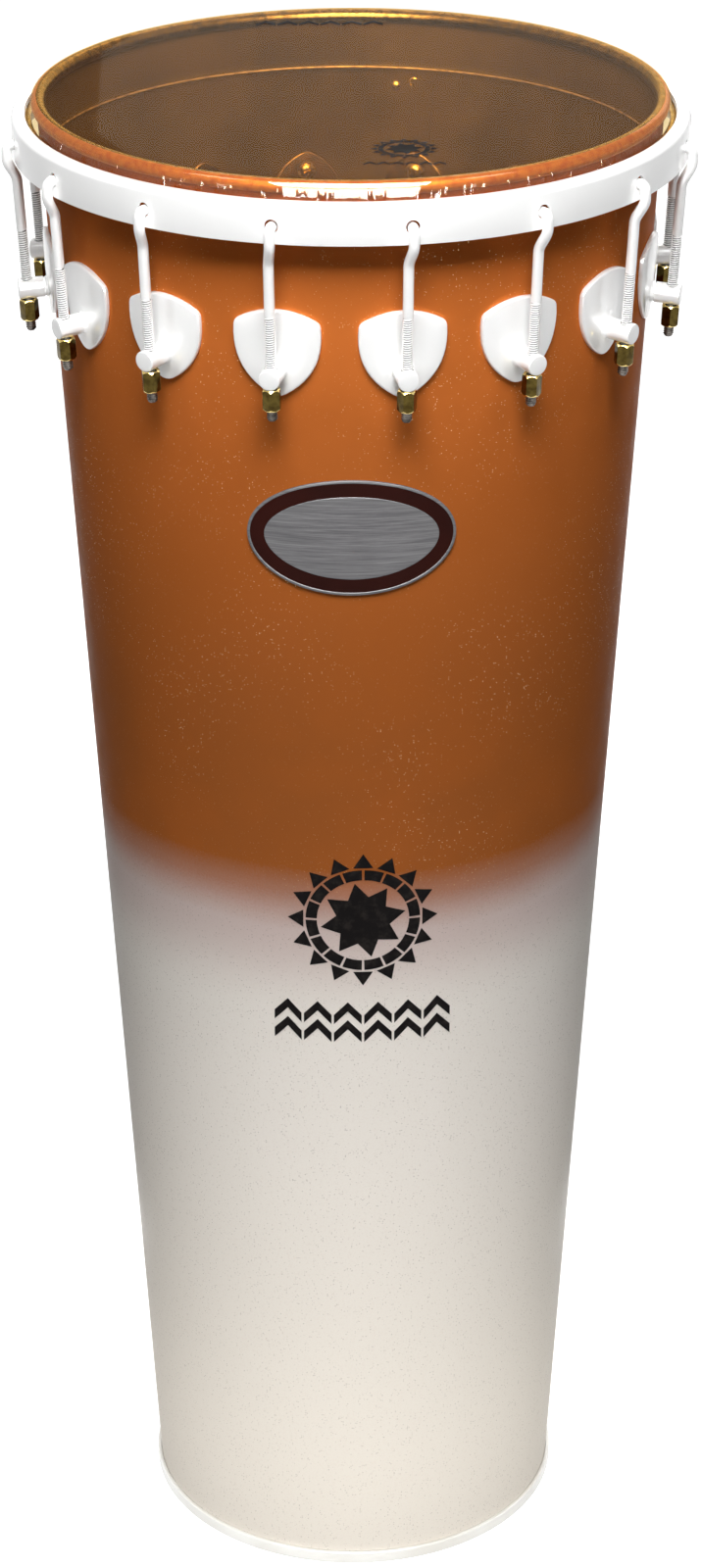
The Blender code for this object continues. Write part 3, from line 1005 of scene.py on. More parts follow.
@dataclass(frozen=True)
class Finishes:
    """Every finish of the drum, mixed once."""

    paint: Material
    bare: Material
    bead: Material
    bead_outside: Material
    crease: Material
    rim: Material
    hoop: Material
    lug: Material
    hook: Material
    groove: Material
    thread: Material
    nut: Material
    nut_end_highlight: Material
    zinc: Material
    plate: Material
    flesh: Material
    film: Material
    collar: Material
    badge: Material
    maroon: Material
    ink: Material
    film_ink: Material

    @classmethod
    def mixed(cls) -> "Finishes":
        """Mixes every finish and returns them all."""
        white, grey = tone(251, 251, 250), tone(249, 249, 248)
        amber, rust = tone(214, 138, 60), tone(196, 106, 40)
        maroon, maroon_dark = tone(50, 17, 11), tone(38, 12, 8)
        recipes = dict(
            paint=FadePaint(),
            bare=BareSheet(),
            bead=PlainMetal("bead_golden_metal", tone(134, 112, 83), tone(76, 62, 43), 0.24),
            bead_outside=PlainMetal("bead_orange_metal", amber, rust, 0.34, 0.35),
            # Light tan for the inner crease: a painted highlight along its fold.
            crease=PlainMetal("crease_painted_highlight", tone(196, 160, 110), tone(120, 92, 58), 0.5, 0.25),
            rim=Enamel("rim_white_enamel", tone(230, 229, 224), tone(216, 213, 205), coat=0.3),
            hoop=Enamel("hoop_white_enamel", white, grey, 0.30),
            lug=Enamel("lug_white_enamel", white, grey, 0.33),
            hook=Enamel("hook_white_enamel", white, grey, 0.32),
            # Dark grey for the rod between the thread's turns: painted shade in the grooves of the same
            # white paint.
            groove=Enamel("thread_groove_painted_shade", tone(70, 67, 64), tone(48, 45, 42), 0.5, coat=0.0),
            thread=PlainMetal("bare_thread_steel", tone(128, 122, 116), tone(62, 58, 55), 0.30),
            nut=PlainMetal("nut_yellow_brass", tone(92, 78, 38), tone(64, 52, 24), 0.16),
            # The nut's chamfers and ends in light gold: a painted highlight, on the same brass as the
            # darker body.
            nut_end_highlight=PlainMetal("nut_chamfer_painted_highlight", tone(226, 204, 138), tone(176, 150, 84), 0.16),
            zinc=PlainMetal("yellow_zinc", tone(206, 170, 110), tone(142, 108, 62), 0.26),
            plate=PlainMetal("backing_dark_steel", tone(86, 58, 30), tone(56, 38, 20), 0.40, 0.6),
            flesh=PlainMetal("flesh_hoop_alloy", tone(200, 198, 192), tone(160, 156, 150), 0.3),
            film=AmberFilm(),
            collar=AmberFilm("head_film_collar", share=0.12, shine=0.03, pleated=True),
            badge=BrushedPlate(),
            maroon=Enamel("badge_maroon_enamel", maroon, maroon_dark, 0.45, coat=0.0, gloss=0.04),
            ink=Ink("shell_ornament_ink"),
            film_ink=Ink("head_ornament_ink", tone(12, 8, 5), tone(22, 14, 8)),
        )
        return cls(**{name: recipe.mixed() for name, recipe in recipes.items()})


# Sub-assemblies


@dataclass
class Assembly:
    """A sub-assembly of the drum, with what all of them need."""

    plan: Plan
    finishes: Finishes


@dataclass
class Shell(Assembly):
    """The tapered sheet metal shell with its rolled bead, inner crease and lap seams, and its base rim."""

    steps: int = 192
    levels: tuple[float, ...] = (0.15, 0.30, 0.45, 0.60, 0.75)
    bead_points: int = 22
    inside_share: float = 0.55
    crown_share: float = 0.30
    crease_height: float = 0.8650
    crease_half: float = 0.0006
    crease_border: float = 0.0040
    crease_depth: float = 0.0004
    seam_bearings: tuple[float, ...] = (math.radians(165.6), math.radians(-121.0))
    seam_width: float = 0.0130
    seam_thickness: float = 0.0007
    seam_gap: float = 0.0001
    seam_edge: float = 0.0002
    seam_stop: float = 0.0060
    fastener_gap: float = 0.0002
    rivet_bearing: float = math.radians(170.9)
    rivet_height: float = 0.8546
    rivet: Outline = (
        (0.0, -0.0016), (0.0014, -0.0015), (0.0026, -0.0009), (0.0031, -0.0001), (0.0031, 0.0004),
        (0.0, 0.0004),
    )
    punch_bearing: float = math.radians(167.3)
    punch_height: float = 0.8570
    punch_ring: Outline = (
        (0.0018, -0.0003), (0.0023, -0.0006), (0.0028, -0.0003), (0.0028, 0.0004), (0.0018, 0.0004),
        (0.0018, -0.0003),
    )
    rim_height: float = 0.0078
    rim_width: float = 0.0023
    rim_rounding: float = 0.0009
    rim_lip: float = 0.0014
    rim_reach: float = 0.0031

    def build(self) -> None:
        """Makes the shell, the seams, the rivet with the punched ring beside it, and the rim."""
        self.make_shell()
        self.make_seams()
        self.make_inner_marks()
        self.make_rim()

    def make_shell(self) -> None:
        """Turns the shell's wall and bead in one profile."""
        plan, finishes = self.plan, self.finishes
        foot = self.rim_lip + plan.gap
        radius, inner = plan.shell_radius, plan.wall
        outer_angle = -math.degrees(math.acos(plan.bead_inset / plan.bead))
        inner_angle = -math.degrees(math.acos((plan.bead_inset - inner) / plan.bead))
        centre = (plan.bead_centre, plan.bead_height)
        profile = [(radius(z), z) for z in (foot, *self.levels)]
        profile += arc(centre, plan.bead, outer_angle, inner_angle + 360, self.bead_points)
        border, half = self.crease_border, self.crease_half
        for rise, groove in ((border, 0.0), (half, 0.0), (0.0, 1.0), (-half, 0.0), (-border, 0.0)):
            z = self.crease_height + rise
            profile.append((radius(z) - inner - groove * self.crease_depth, z))
        profile += [(radius(z) - inner, z) for z in (*reversed(self.levels), foot)]
        shell = turn("shell_wall", [*profile, profile[0]], self.steps)
        smooth(shell)
        dress(
            shell, finishes.paint, finishes.bare, finishes.bead, finishes.bead_outside, finishes.crease
        )
        paint_where(shell, 1, self.is_inside)
        paint_where(shell, 3, self.is_bead)
        paint_where(shell, 2, self.is_inner_bead)
        # The crease faces take the painted highlight.
        paint_where(shell, 4, self.in_crease_highlight)
        seat(shell, "drum", ["shell"])

    def is_inside(self, centre: Vector, _normal: Vector) -> bool:
        """Whether a face of the shell is on its unpainted side."""
        radius = math.hypot(centre.x, centre.y)
        if centre.z > self.plan.bead_height - self.plan.bead:
            return radius < self.plan.bead_centre - self.plan.bead * self.inside_share
        return radius < self.plan.shell_radius(centre.z) - self.plan.wall / 2

    def is_bead(self, centre: Vector, _normal: Vector) -> bool:
        """Whether a face of the shell is on the bead."""
        return centre.z > self.plan.bead_height - self.plan.bead

    def is_inner_bead(self, centre: Vector, normal: Vector) -> bool:
        """Whether a face of the shell is on the bead's crown or its inner half."""
        reach = self.plan.bead_centre + self.plan.bead * self.crown_share
        return self.is_bead(centre, normal) and math.hypot(centre.x, centre.y) < reach

    def in_crease_highlight(self, centre: Vector, normal: Vector) -> bool:
        """Whether a face of the shell is in the crease round its inside, which is painted as a bright
        highlight.
        """
        return abs(centre.z - self.crease_height) < self.crease_half and self.is_inside(centre, normal)

    def make_seams(self) -> None:
        """Makes the two lap seams up the inside of the wall."""
        plan = self.plan
        low, high = self.rim_lip + 2 * plan.gap, self.crease_height - self.seam_stop
        reach = plan.shell_radius(low) - plan.wall - self.seam_gap
        across = [self.seam_width * share for share in (-0.5, -0.25, 0.0, 0.25, 0.5)]
        rise = (0.0, -(high - low) * plan.flare, high - low)
        for number, bearing in enumerate(self.seam_bearings, 1):
            foot = [Vector((x, -math.sqrt(reach**2 - x**2), low)) for x in across]
            seam = trace(f"lap_seam_{number}", foot)
            with editing(seam):
                pull(rise)
                bpy.ops.mesh.select_all(action="SELECT")
                pull((0.0, self.seam_thickness, 0.0))
            tidy_normals(seam)
            soften(seam, self.seam_edge, 50.0)
            put(seam, Matrix.Rotation(bearing, 4, "Z"))
            smooth(seam, 30.0)
            dress(seam, self.finishes.bare)
            seat(seam, "drum")

    def make_inner_marks(self) -> None:
        """Makes the rivet near the seam, its head inside, and the punched ring beside it."""
        plan = self.plan
        reach = plan.wall + self.fastener_gap
        for name, profile, height, bearing in (
            ("seam_rivet", self.rivet, self.rivet_height, self.rivet_bearing),
            ("seam_punch_ring", self.punch_ring, self.punch_height, self.punch_bearing),
        ):
            inside = [(radius, along - reach) for radius, along in profile]
            piece = put(turn(name, inside, 24, facing=True), plan.on_shell(height, bearing))
            smooth(piece)
            dress(piece, self.finishes.zinc)
            seat(piece, "drum")

    def make_rim(self) -> None:
        """Turns the white band round the base."""
        plan, rounding = self.plan, self.rim_rounding
        low = self.rim_lip + plan.gap
        inside = plan.shell_radius(low) + plan.gap
        outside = inside + self.rim_width
        lip = plan.shell_radius(low) - self.rim_reach
        profile = [(inside + plan.gap, self.rim_height)]
        profile += arc((outside - rounding, self.rim_height - rounding), rounding, 90, 0, 5)
        profile += arc((outside - rounding, rounding), rounding, 0, -90, 5)
        profile += [(lip, 0.0), (lip, self.rim_lip), (inside, self.rim_lip), profile[0]]
        rim = turn("base_band", profile, self.steps)
        smooth(rim)
        dress(rim, self.finishes.rim)
        seat(rim, "drum", ["base_rim"])


@dataclass
class DrumHead(Assembly):
    """The amber film, rolled over the bead and down into the flesh hoop, and that hoop."""

    steps: int = 192
    roll_points: int = 10
    flat_rings: tuple[float, ...] = (0.0, 0.06, 0.12, 0.16)
    collar_share: float = 0.30
    flesh_height: float = 0.0060
    flesh_edge: float = 0.0004
    groove_depth: float = 0.0024
    lip_drop: float = 0.0012

    @property
    def flesh_top(self) -> float:
        """Height of the flesh hoop's top."""
        return self.plan.hoop_top - self.plan.hoop_wall - self.plan.gap

    def build(self) -> None:
        """Makes the film and its flesh hoop."""
        self.make_film()
        self.make_flesh_hoop()

    def make_film(self) -> None:
        """Turns the film as one thin closed sheet."""
        plan, flat = self.plan, self.flat_rings
        centre = (plan.bead_centre, plan.bead_height)
        foot, knee = self.flesh_top - self.groove_depth + plan.gap, self.flesh_top - plan.gap
        out, back = plan.collar_foot, plan.collar_foot - plan.film
        profile = [(r, plan.height) for r in flat] + arc(centre, plan.roll, 90, 0, self.roll_points)
        profile += [(out, knee), (out, foot), (back, foot), (back, knee)]
        profile += arc(centre, plan.roll - plan.film, 0, 90, self.roll_points)
        profile += [(r, plan.height - plan.film) for r in reversed(flat)]
        film = turn("head_film", profile, self.steps)
        smooth(film, 40.0)
        dress(film, self.finishes.film, self.finishes.collar)
        edge = plan.bead_centre + plan.bead * self.collar_share
        paint_where(film, 1, lambda centre, normal: math.hypot(centre.x, centre.y) > edge)
        seat(film, "head", ["drumhead_film"])

    def make_flesh_hoop(self) -> None:
        """Turns the channel that holds the film's edge."""
        plan = self.plan
        groove_out = plan.collar_foot + plan.gap
        groove_in = plan.collar_foot - plan.film - plan.gap
        outside = plan.flesh_middle + plan.flesh_width / 2
        inside = plan.flesh_middle - plan.flesh_width / 2
        top, bottom = self.flesh_top, self.flesh_top - self.flesh_height
        floor, lip = top - self.groove_depth, top - self.lip_drop
        profile = [(groove_out, top), (outside, top), (outside, bottom), (inside, bottom)]
        profile += [(inside, lip), (groove_in, lip), (groove_in, floor), (groove_out, floor)]
        ring = turn("flesh_ring", [*profile, profile[0]], self.steps)
        soften(ring, self.flesh_edge, 50.0, 2)
        smooth(ring, 40.0)
        dress(ring, self.finishes.flesh)
        seat(ring, "head", ["flesh_hoop"])


@dataclass
class TensionHoop(Assembly):
    """The white hoop: an angle section with a crisp shoulder, drilled for the hooks."""

    steps: int = 192
    flange_clearance: float = 0.0006
    flange_rise: float = 0.0006
    shoulder: float = 0.0028
    inner_rounding: float = 0.0012
    edge: float = 0.0005
    countersink: float = 0.0004
    drill_tip: float = 0.0060
    drill_back: float = 0.0040

    def build(self) -> None:
        """Turns the hoop and drills it."""
        plan, edge = self.plan, self.edge
        radius, top, low = plan.hoop_radius, plan.hoop_top, plan.hoop_bottom
        flange, inside = plan.collar_foot + self.flange_clearance, radius - plan.hoop_wall
        under, soft = top - plan.hoop_wall, edge * 0.8
        knee = (radius - self.shoulder, top - self.flange_rise - self.shoulder)
        profile = arc((flange + edge, top - edge), edge, 180, 90, 4)
        profile += arc(knee, self.shoulder, 86, 0, 8)
        profile += arc((radius - edge, low + edge), edge, 0, -90, 4)
        profile += arc((inside + soft, low + soft), soft, -90, -180, 3)
        profile += [(inside, under - self.inner_rounding), (inside - self.inner_rounding, under)]
        profile += [(flange + edge * 0.5, under), (flange, under + edge * 0.5), profile[0]]
        hoop = turn("white_hoop", profile, self.steps)
        put(hoop, Matrix.Rotation(plan.lug_phase, 4, "Z"))
        drill = self.make_drill()
        reach = Matrix.Translation((plan.sidestep, -radius, plan.hook_hole))
        for index in range(plan.lug_count):
            place = Matrix.Rotation(plan.bearing(index), 4, "Z") @ reach
            carve(hoop, copy_to(drill, f"drill_{index}", place))
        put_away(drill)
        smooth(hoop, 30.0)
        dress(hoop, self.finishes.hoop)
        seat(hoop, "hoop", ["tension_hoop"])

    def make_drill(self) -> Piece:
        """Makes a drill that breaks the hole's outer edge, and returns it."""
        hole = self.plan.rod_radius + self.plan.hook_hole_clearance
        sink = self.countersink
        profile = [(0.0, -self.drill_tip), (hole, -self.drill_tip), (hole, -sink)]
        profile += [(hole + sink * 0.35, -sink * 0.3), (hole + sink, sink * 0.5)]
        profile += [(hole + sink, self.drill_back), (0.0, self.drill_back)]
        return turn("drill", profile, 32, facing=True)


@dataclass(frozen=True)
class Shield:
    """A shield: a crowned top and two full sides that meet in a point below.

    Its width and its reach above and below the post are those of the triangle that it swells from:
    the top by the crown, the sides by the bulge. Its corners and its foot are rounded off.
    """

    width: float
    above: float
    below: float
    crown: float
    bulge: float
    corner: float
    foot_corner: float

    def outline(self) -> Outline:
        """Works out the outline.

        Returns:
            (across, up) points, closed.
        """
        left, right = Vector((-self.width / 2, self.above)), Vector((self.width / 2, self.above))
        foot = Vector((0, -self.below))
        sides = []
        for start, end, swell, first, last in (
            (right, left, self.crown, self.corner, self.corner),
            (left, foot, self.bulge, self.corner, self.foot_corner),
            (foot, right, self.bulge, self.foot_corner, self.corner),
        ):
            along = end - start
            out = Vector((along.y, -along.x)).normalized()
            low, high = first / along.length, 1 - last / along.length
            stations = [low + (high - low) * i / 11 for i in range(12)]
            sides.append([start + along * t + out * swell * 4 * t * (1 - t) for t in stations])
        outline = []
        for side, following, tip in zip(sides, sides[1:] + sides[:1], (left, foot, right)):
            outline += side
            for t in (0.25, 0.5, 0.75):
                outline.append(side[-1] * (1 - t) ** 2 + tip * 2 * t * (1 - t) + following[0] * t * t)
        return [(point.x, point.y) for point in [*outline, outline[0]]]


@dataclass
class Lugs(Assembly):
    """Sixteen white cast lugs with their posts, and the backing plates and screws inside the shell."""

    front: Shield = Shield(0.0462, 0.0255, 0.0170, 0.0072, 0.0088, 0.0021, 0.0042)
    thickness: float = 0.0026
    edge: float = 0.0013
    dome: float = 0.0009
    rounding_steps: Pairs = ((0.134, 0.5), (0.366, 0.366), (0.5, 0.134))
    dome_steps: Pairs = ((0.80, 0.45), (0.72, 0.30), (0.60, 0.18), (0.35, 0.07))
    post_length: float = 0.0200
    post_edge: float = 0.0008
    post_crown: float = 0.0001
    fairing_foot: float = 0.0022
    fairing_waist: float = 0.0010
    fairing_rise: float = 0.0007
    neck_radius: float = 0.0051
    neck_length: float = 0.0058
    neck_step: float = 0.0006
    rod_hole: float = 0.0034
    backing: Shield = Shield(0.0410, 0.0125, 0.0202, 0.0050, 0.0072, 0.0030, 0.0030)
    backing_thickness: float = 0.0018
    backing_edge: float = 0.0006
    backing_dome: float = 0.0002
    screw_spacing: float = 0.0170
    screw_head: float = 0.0042
    screw_height: float = 0.0026
    screw_sink: float = 0.9
    washer: float = 0.0006
    slot_depth: float = 0.0022

    def build(self) -> None:
        """Makes one lug with its backing and sets a copy at each station."""
        casting = self.make_casting()
        backing = self.make_backing()
        for number, place in self.plan.stations():
            lug = copy_to(casting, f"lug_casting_{number}", place)
            seat(lug, "drum", [f"lug_{number}"])
            seat(copy_to(backing, f"lug_backing_{number}", place), "drum")
        put_away(casting, backing)

    def plate(
        self, name: str, outline: Outline, back: float, thickness: float, edge: float, dome: float
    ) -> Piece:
        """A domed plate with a rounded edge, facing -Y.

        Args:
            name: its name.
            outline: its outline, closed.
            back: how far its back stands in front of the origin.
            thickness: at its edge's top.
            edge: the radius that rounds its edge.
            dome: how far its middle swells past that.

        Returns:
            The closed plate, still flat.
        """
        plate = trace(name, [Vector((x, -back, z)) for x, z in outline])
        middle = (0.0, 0.0, sum(z for _, z in outline[:-1]) / (len(outline) - 1))
        with editing(plate, Pick.FACES):
            bpy.ops.mesh.edge_face_add()
            pull((0.0, edge - thickness, 0.0))
        front = self.front_of(back + thickness - edge)
        for inset, rise in self.rounding_steps:
            mark(plate, front)
            with editing(plate, Pick.FACES, whole=False):
                step_in(inset * edge, rise * edge)
        for share, swell in self.dome_steps:
            mark(plate, front)
            with editing(plate, Pick.FACES, whole=False):
                ring_in(share, middle, dome * swell)
        for share, _ in self.dome_steps:
            mark(plate, self.inner_back(plate, back))
            with editing(plate, Pick.FACES, whole=False):
                ring_in(share, middle)
        return tidy_normals(plate)

    @staticmethod
    def front_of(reach: float) -> FaceTest:
        """A test for the nearly flat faces at or past a reach in front of the origin."""
        return lambda centre, normal: abs(normal.y) > 0.999 and centre.y < -reach + 1e-6

    @staticmethod
    def inner_back(plate: Piece, back: float) -> FaceTest:
        """A test for the innermost of the many-sided faces on a plate's back."""
        faces = [f for f in plate.data.polygons if abs(f.center.y + back) < 1e-6 and len(f.vertices) > 8]
        spot = min(faces, key=lambda face: face.area).center.copy()
        return lambda centre, normal: (centre - spot).length < 1e-7 and abs(normal.y) > 0.99

    def make_casting(self) -> Piece:
        """Makes the lug: its shield plate, its post with the fairing, and the rod's hole."""
        plan, neck, rounded = self.plan, self.neck_radius, self.post_edge
        outline = self.front.outline()
        plate = self.plate("lug_casting", outline, plan.gap, self.thickness, self.edge, self.dome)
        bend_round(plate, plan.shell_radius(plan.lug_height) + plan.gap)
        root, reach, radius = plan.gap + self.thickness * 0.6, self.post_length, plan.post_radius
        step, shoulder, end = self.neck_step, self.neck_length, reach + self.post_crown
        profile = [(0.0, root), (neck + self.fairing_foot, root)]
        profile += [(neck + self.fairing_waist, plan.gap + self.thickness + self.fairing_rise)]
        profile += [(neck + step / 2, shoulder - 2 * step), (neck, shoulder - step)]
        profile += [(radius, shoulder)]
        profile += arc((radius - rounded, reach - rounded), rounded, 0, 90, 4)
        profile += [(radius * 0.45, end), (0.0, end)]
        carve(plate, turn("post", profile, 40, facing=True), Carving.FUSE)
        drill = fresh(
            "rod_drill", bpy.ops.mesh.primitive_cylinder_add, vertices=32, radius=self.rod_hole,
            depth=radius * 4, location=(0.0, -plan.rod_standoff, 0.0),
        )
        carve(plate, settle(drill))
        tidy_normals(plate)
        smooth(plate, 32.0)
        return dress(plate, self.finishes.lug)

    def make_backing(self) -> Piece:
        """Makes the backing plate inside the shell, its point up, with its two cross-head screws."""
        plan, thickness, zinc = self.plan, self.backing_thickness, self.finishes.zinc
        outline = [(x, -z) for x, z in self.backing.outline()]
        plate = self.plate(
            "lug_backing", outline, 0.0, thickness, self.backing_edge, self.backing_dome
        )
        put(plate, Matrix.Rotation(math.pi, 4, "Z"))
        bend_round(plate, plan.shell_radius(plan.lug_height) - plan.wall)
        seat_depth = plan.wall + plan.gap
        put(plate, Matrix.Translation((0.0, seat_depth, 0.0)))
        dress(plate, self.finishes.plate, zinc)
        # The plate's edge faces take the bright zinc: a painted highlight round the dark plate.
        paint_where(plate, 1, lambda centre, normal: abs(normal.y) < 0.85)
        screw_seat, screws = seat_depth + thickness * self.screw_sink, []
        for side in (-0.5, 0.5):
            place = Matrix.Translation((0.0, 0.0, side * self.screw_spacing))
            screws.append(dress(put(self.make_screw(screw_seat), place), zinc))
        return smooth(join("lug_backing", plate, *screws), 32.0)

    def make_screw(self, seat_depth: float) -> Piece:
        """A pan-head screw with a washer, its head towards the drum's axis.

        Args:
            seat_depth: how far behind the shell's surface its washer lies.

        Returns:
            The screw.
        """
        head, high, washer = self.screw_head, self.screw_height, self.washer
        rises = [(0.0, high), (head * 0.45, high * 0.97), (head * 0.80, high * 0.80)]
        rises += [(head * 0.97, high * 0.50), (head * 0.99, washer), (head * 1.28, washer)]
        rises += [(head * 1.30, 0.0), (0.0, 0.0)]
        screw = turn("screw", [(radius, -seat_depth - rise) for radius, rise in rises], 24, facing=True)
        for angle in (0.0, math.pi / 2):
            slot = fresh(
                "slot_cutter", bpy.ops.mesh.primitive_cube_add, size=1.0,
                location=(0.0, seat_depth + high, 0.0),
            )
            slot.scale = (head * 1.1, self.slot_depth, head * 0.22)
            slot.rotation_euler = (0.0, angle + math.radians(20.0), 0.0)
            carve(screw, settle(slot))
        return screw


@dataclass
class Hooks(Assembly):
    """Sixteen tension hooks: a painted rod, bent over into the hoop, threaded through the post and nut."""

    standoff: float = 0.0008
    bend: float = 0.0038
    bend_start: float = 4.0
    bend_points: int = 12
    reach: float = 0.0022
    kink: float = 0.0125
    rise: float = 0.0012
    kink_points: int = 13
    tip_steps: Pairs = ((0.0012, 1.0), (0.0004, 0.94), (0.0, 0.62))
    tuck: float = 0.001
    runout: float = 0.0006
    pitch: float = 0.00127
    turns_above: int = 22
    turns_below: int = 5
    thread_depth: float = 0.00052
    thread_overlap: float = 0.0001
    painted_crest: float = 0.00022
    bare_crest: float = 0.00012
    end_chamfer: float = 0.0007
    end_lead: float = 0.9
    flank_share: float = 0.35
    sides: int = 20

    def build(self) -> None:
        """Makes one hook and sets a copy at each station."""
        rod, ridge, end = self.make_rod(), self.make_painted_thread(), self.make_end()
        dress(rod, self.finishes.hook, self.finishes.groove)
        # The rod's core between the thread's turns takes the dark grey: painted shade in the grooves.
        paint_where(rod, 1, lambda centre, normal: centre.z < self.thread_top)
        dress(ridge, self.finishes.hook)
        painted = smooth(join("hook_rod", rod, ridge), 40.0)
        for number, place in self.plan.stations():
            hook = copy_to(painted, f"hook_rod_{number}", place)
            seat(hook, f"hook_{number}_body", [f"hook_{number}"])
            tail = copy_to(end, f"hook_thread_{number}", place)
            seat(tail, f"hook_{number}_body")
        put_away(painted, end)

    @property
    def nut_low(self) -> float:
        """Bench height of the nut's lower end."""
        return -self.plan.post_radius - self.plan.gap - self.plan.nut_length

    @property
    def thread_top(self) -> float:
        """Bench height at which the painted thread ends."""
        return self.plan.post_radius + self.turns_above * self.pitch

    def path(self) -> list[tuple[Vector, float]]:
        """The rod's middle line on the bench with its thickness there, from the nut up to the tip."""
        plan, full = self.plan, self.plan.rod_radius
        root, top = full - self.thread_depth, self.thread_top
        line = [(Vector((0.0, -plan.rod_standoff, z)), root) for z in (self.nut_low + self.tuck, top)]
        line.append((Vector((0.0, -plan.rod_standoff, top + self.runout)), full))
        bend_line = plan.hoop_radius + full + self.standoff
        kink, straight = plan.hoop_bottom - self.kink, plan.hoop_bottom + self.rise
        start = plan.shell_radius(kink) + plan.rod_standoff / math.cos(plan.lean)
        for i in range(self.kink_points):
            t = i / (self.kink_points - 1)
            share = t * t * (3 - 2 * t)
            radius, height = start + (bend_line - start) * share, kink + (straight - kink) * t
            line.append((plan.to_bench(radius, plan.sidestep * share, height), full))
        seat_height = plan.hook_hole - (plan.hook_hole_clearance - plan.gap)
        centre = (bend_line - self.bend, seat_height - self.bend)
        for radius, height in arc(centre, self.bend, self.bend_start, 90, self.bend_points):
            line.append((plan.to_bench(radius, plan.sidestep, height), full))
        tip = plan.hoop_radius - plan.hoop_wall - self.reach
        for inward, share in self.tip_steps:
            line.append((plan.to_bench(tip + inward, plan.sidestep, seat_height), full * share))
        return line

    def make_rod(self) -> Piece:
        """Bends the rod along its path."""
        rod = fresh("hook_rod", bpy.ops.curve.primitive_nurbs_path_add, location=(0.0, 0.0, 0.0))
        curve, path = rod.data, self.path()
        curve.splines.clear()
        spline = curve.splines.new("POLY")
        spline.points.add(len(path) - 1)
        for point, (place, thick) in zip(spline.points, path):
            point.co = (*place, 1.0)
            point.radius = thick / self.plan.rod_radius
        curve.dimensions = "3D"
        curve.bevel_depth = self.plan.rod_radius
        curve.bevel_resolution = self.sides // 2 - 2
        curve.use_fill_caps = True
        hold(rod)
        bpy.ops.object.convert(target="MESH")
        return tidy_normals(settle(bpy.context.active_object))

    def ridge(self, name: str, low: float, turns: int, crest: float) -> Piece:
        """Winds a thread's ridge round the rod.

        Args:
            name: its name.
            low: the bench height where it starts.
            turns: how many times it goes round.
            crest: half the width of its flat top.

        Returns:
            The closed ridge.
        """
        plan = self.plan
        root, top = plan.rod_radius - self.thread_depth - self.thread_overlap, plan.rod_radius
        half = self.pitch * self.flank_share
        section = [(root, -half), (top, -crest), (top, crest), (root, half), (root, -half)]
        ridge = trace(name, [Vector((radius, 0.0, low + along)) for radius, along in section])
        modify(
            ridge, "SCREW", axis="Z", angle=2 * math.pi, screw_offset=self.pitch, iterations=turns,
            steps=self.sides, render_steps=self.sides,
        )
        with editing(ridge):
            bpy.ops.mesh.remove_doubles(threshold=DOUBLED)
            bpy.ops.mesh.fill_holes(sides=8)
            bpy.ops.mesh.select_all(action="SELECT")
            bpy.ops.mesh.normals_make_consistent(inside=False)
        return put(ridge, Matrix.Translation((0.0, -plan.rod_standoff, 0.0)))

    def make_painted_thread(self) -> Piece:
        """Winds the painted thread above the post."""
        low = self.plan.post_radius - self.pitch * 2
        return self.ridge("painted_thread", low, self.turns_above + 2, self.painted_crest)

    def make_end(self) -> Piece:
        """Makes the bare threaded end below the nut."""
        plan, chamfer = self.plan, self.end_chamfer
        root, high = plan.rod_radius - self.thread_depth, self.nut_low + 2 * self.tuck
        low = self.nut_low - plan.thread_below_nut
        profile = [(0.0, low), (root - chamfer, low), (root, low + chamfer), (root, high), (0.0, high)]
        core = turn("thread_core", profile, self.sides)
        put(core, Matrix.Translation((0.0, -plan.rod_standoff, 0.0)))
        start = low + self.pitch * self.end_lead
        ridge = self.ridge("bare_thread", start, self.turns_below, self.bare_crest)
        end = smooth(join("hook_thread", core, ridge))
        return dress(end, self.finishes.thread)


@dataclass
class Nuts(Assembly):
    """Sixteen long hexagonal brass nuts."""

    flats: float = 0.0093
    chamfer: float = 0.0014
    bore: float = 0.0031
    lead_in: float = 0.0012
    lead_depth: float = 0.0005
    face_inset: float = 0.0003
    overcut: float = 0.0002
    edge: float = 0.00012
    turned_by: float = math.radians(23.0)

    def build(self) -> None:
        """Makes one nut and sets a copy under each post, each turned its own way."""
        plan, nut = self.plan, self.make_nut()
        middle = -plan.post_radius - plan.gap - plan.nut_length / 2
        reach = Matrix.Translation((0.0, -plan.rod_standoff, middle))
        for index, (number, place) in enumerate(plan.stations()):
            spun = place @ reach @ Matrix.Rotation(self.turned_by * index, 4, "Z")
            piece = copy_to(nut, f"brass_nut_{number}", spun)
            seat(piece, f"nut_{number}_body", [f"nut_{number}"])
        put_away(nut)

    def make_nut(self) -> Piece:
        """Cuts a hexagonal bar, turns its ends and bores it."""
        length, bore, wide = self.plan.nut_length, self.bore, self.bore + self.lead_in
        half, corner = length / 2, self.flats / math.sqrt(3)
        nut = fresh(
            "hexagonal_bar", bpy.ops.mesh.primitive_cylinder_add, vertices=6, radius=corner, depth=length
        )
        end, past, out = self.flats / 2 - self.face_inset, half + self.overcut, corner + self.overcut / 2
        limit = [(0.0, -past), (end, -past), (out, self.chamfer - half)]
        limit += [(out, half - self.chamfer), (end, past), (0.0, past)]
        carve(nut, turn("lathe_limit", limit, 64), Carving.TRIM)
        past, deep = half + 2 * self.lead_depth, half - self.lead_depth
        hole = [(0.0, -past), (wide, -past), (bore, -deep), (bore, deep), (wide, past), (0.0, past)]
        carve(nut, turn("bore", hole, 24))
        tidy_normals(nut, 1e-5)
        soften(nut, self.edge, 25.0)
        smooth(nut, 20.0)
        dress(nut, self.finishes.nut, self.finishes.nut_end_highlight)
        # The chamfers and end faces take the light gold, a painted highlight.
        ends = half * 0.7
        return paint_where(nut, 1, lambda centre, normal: abs(normal.z) > 0.25 and abs(centre.z) > ends)


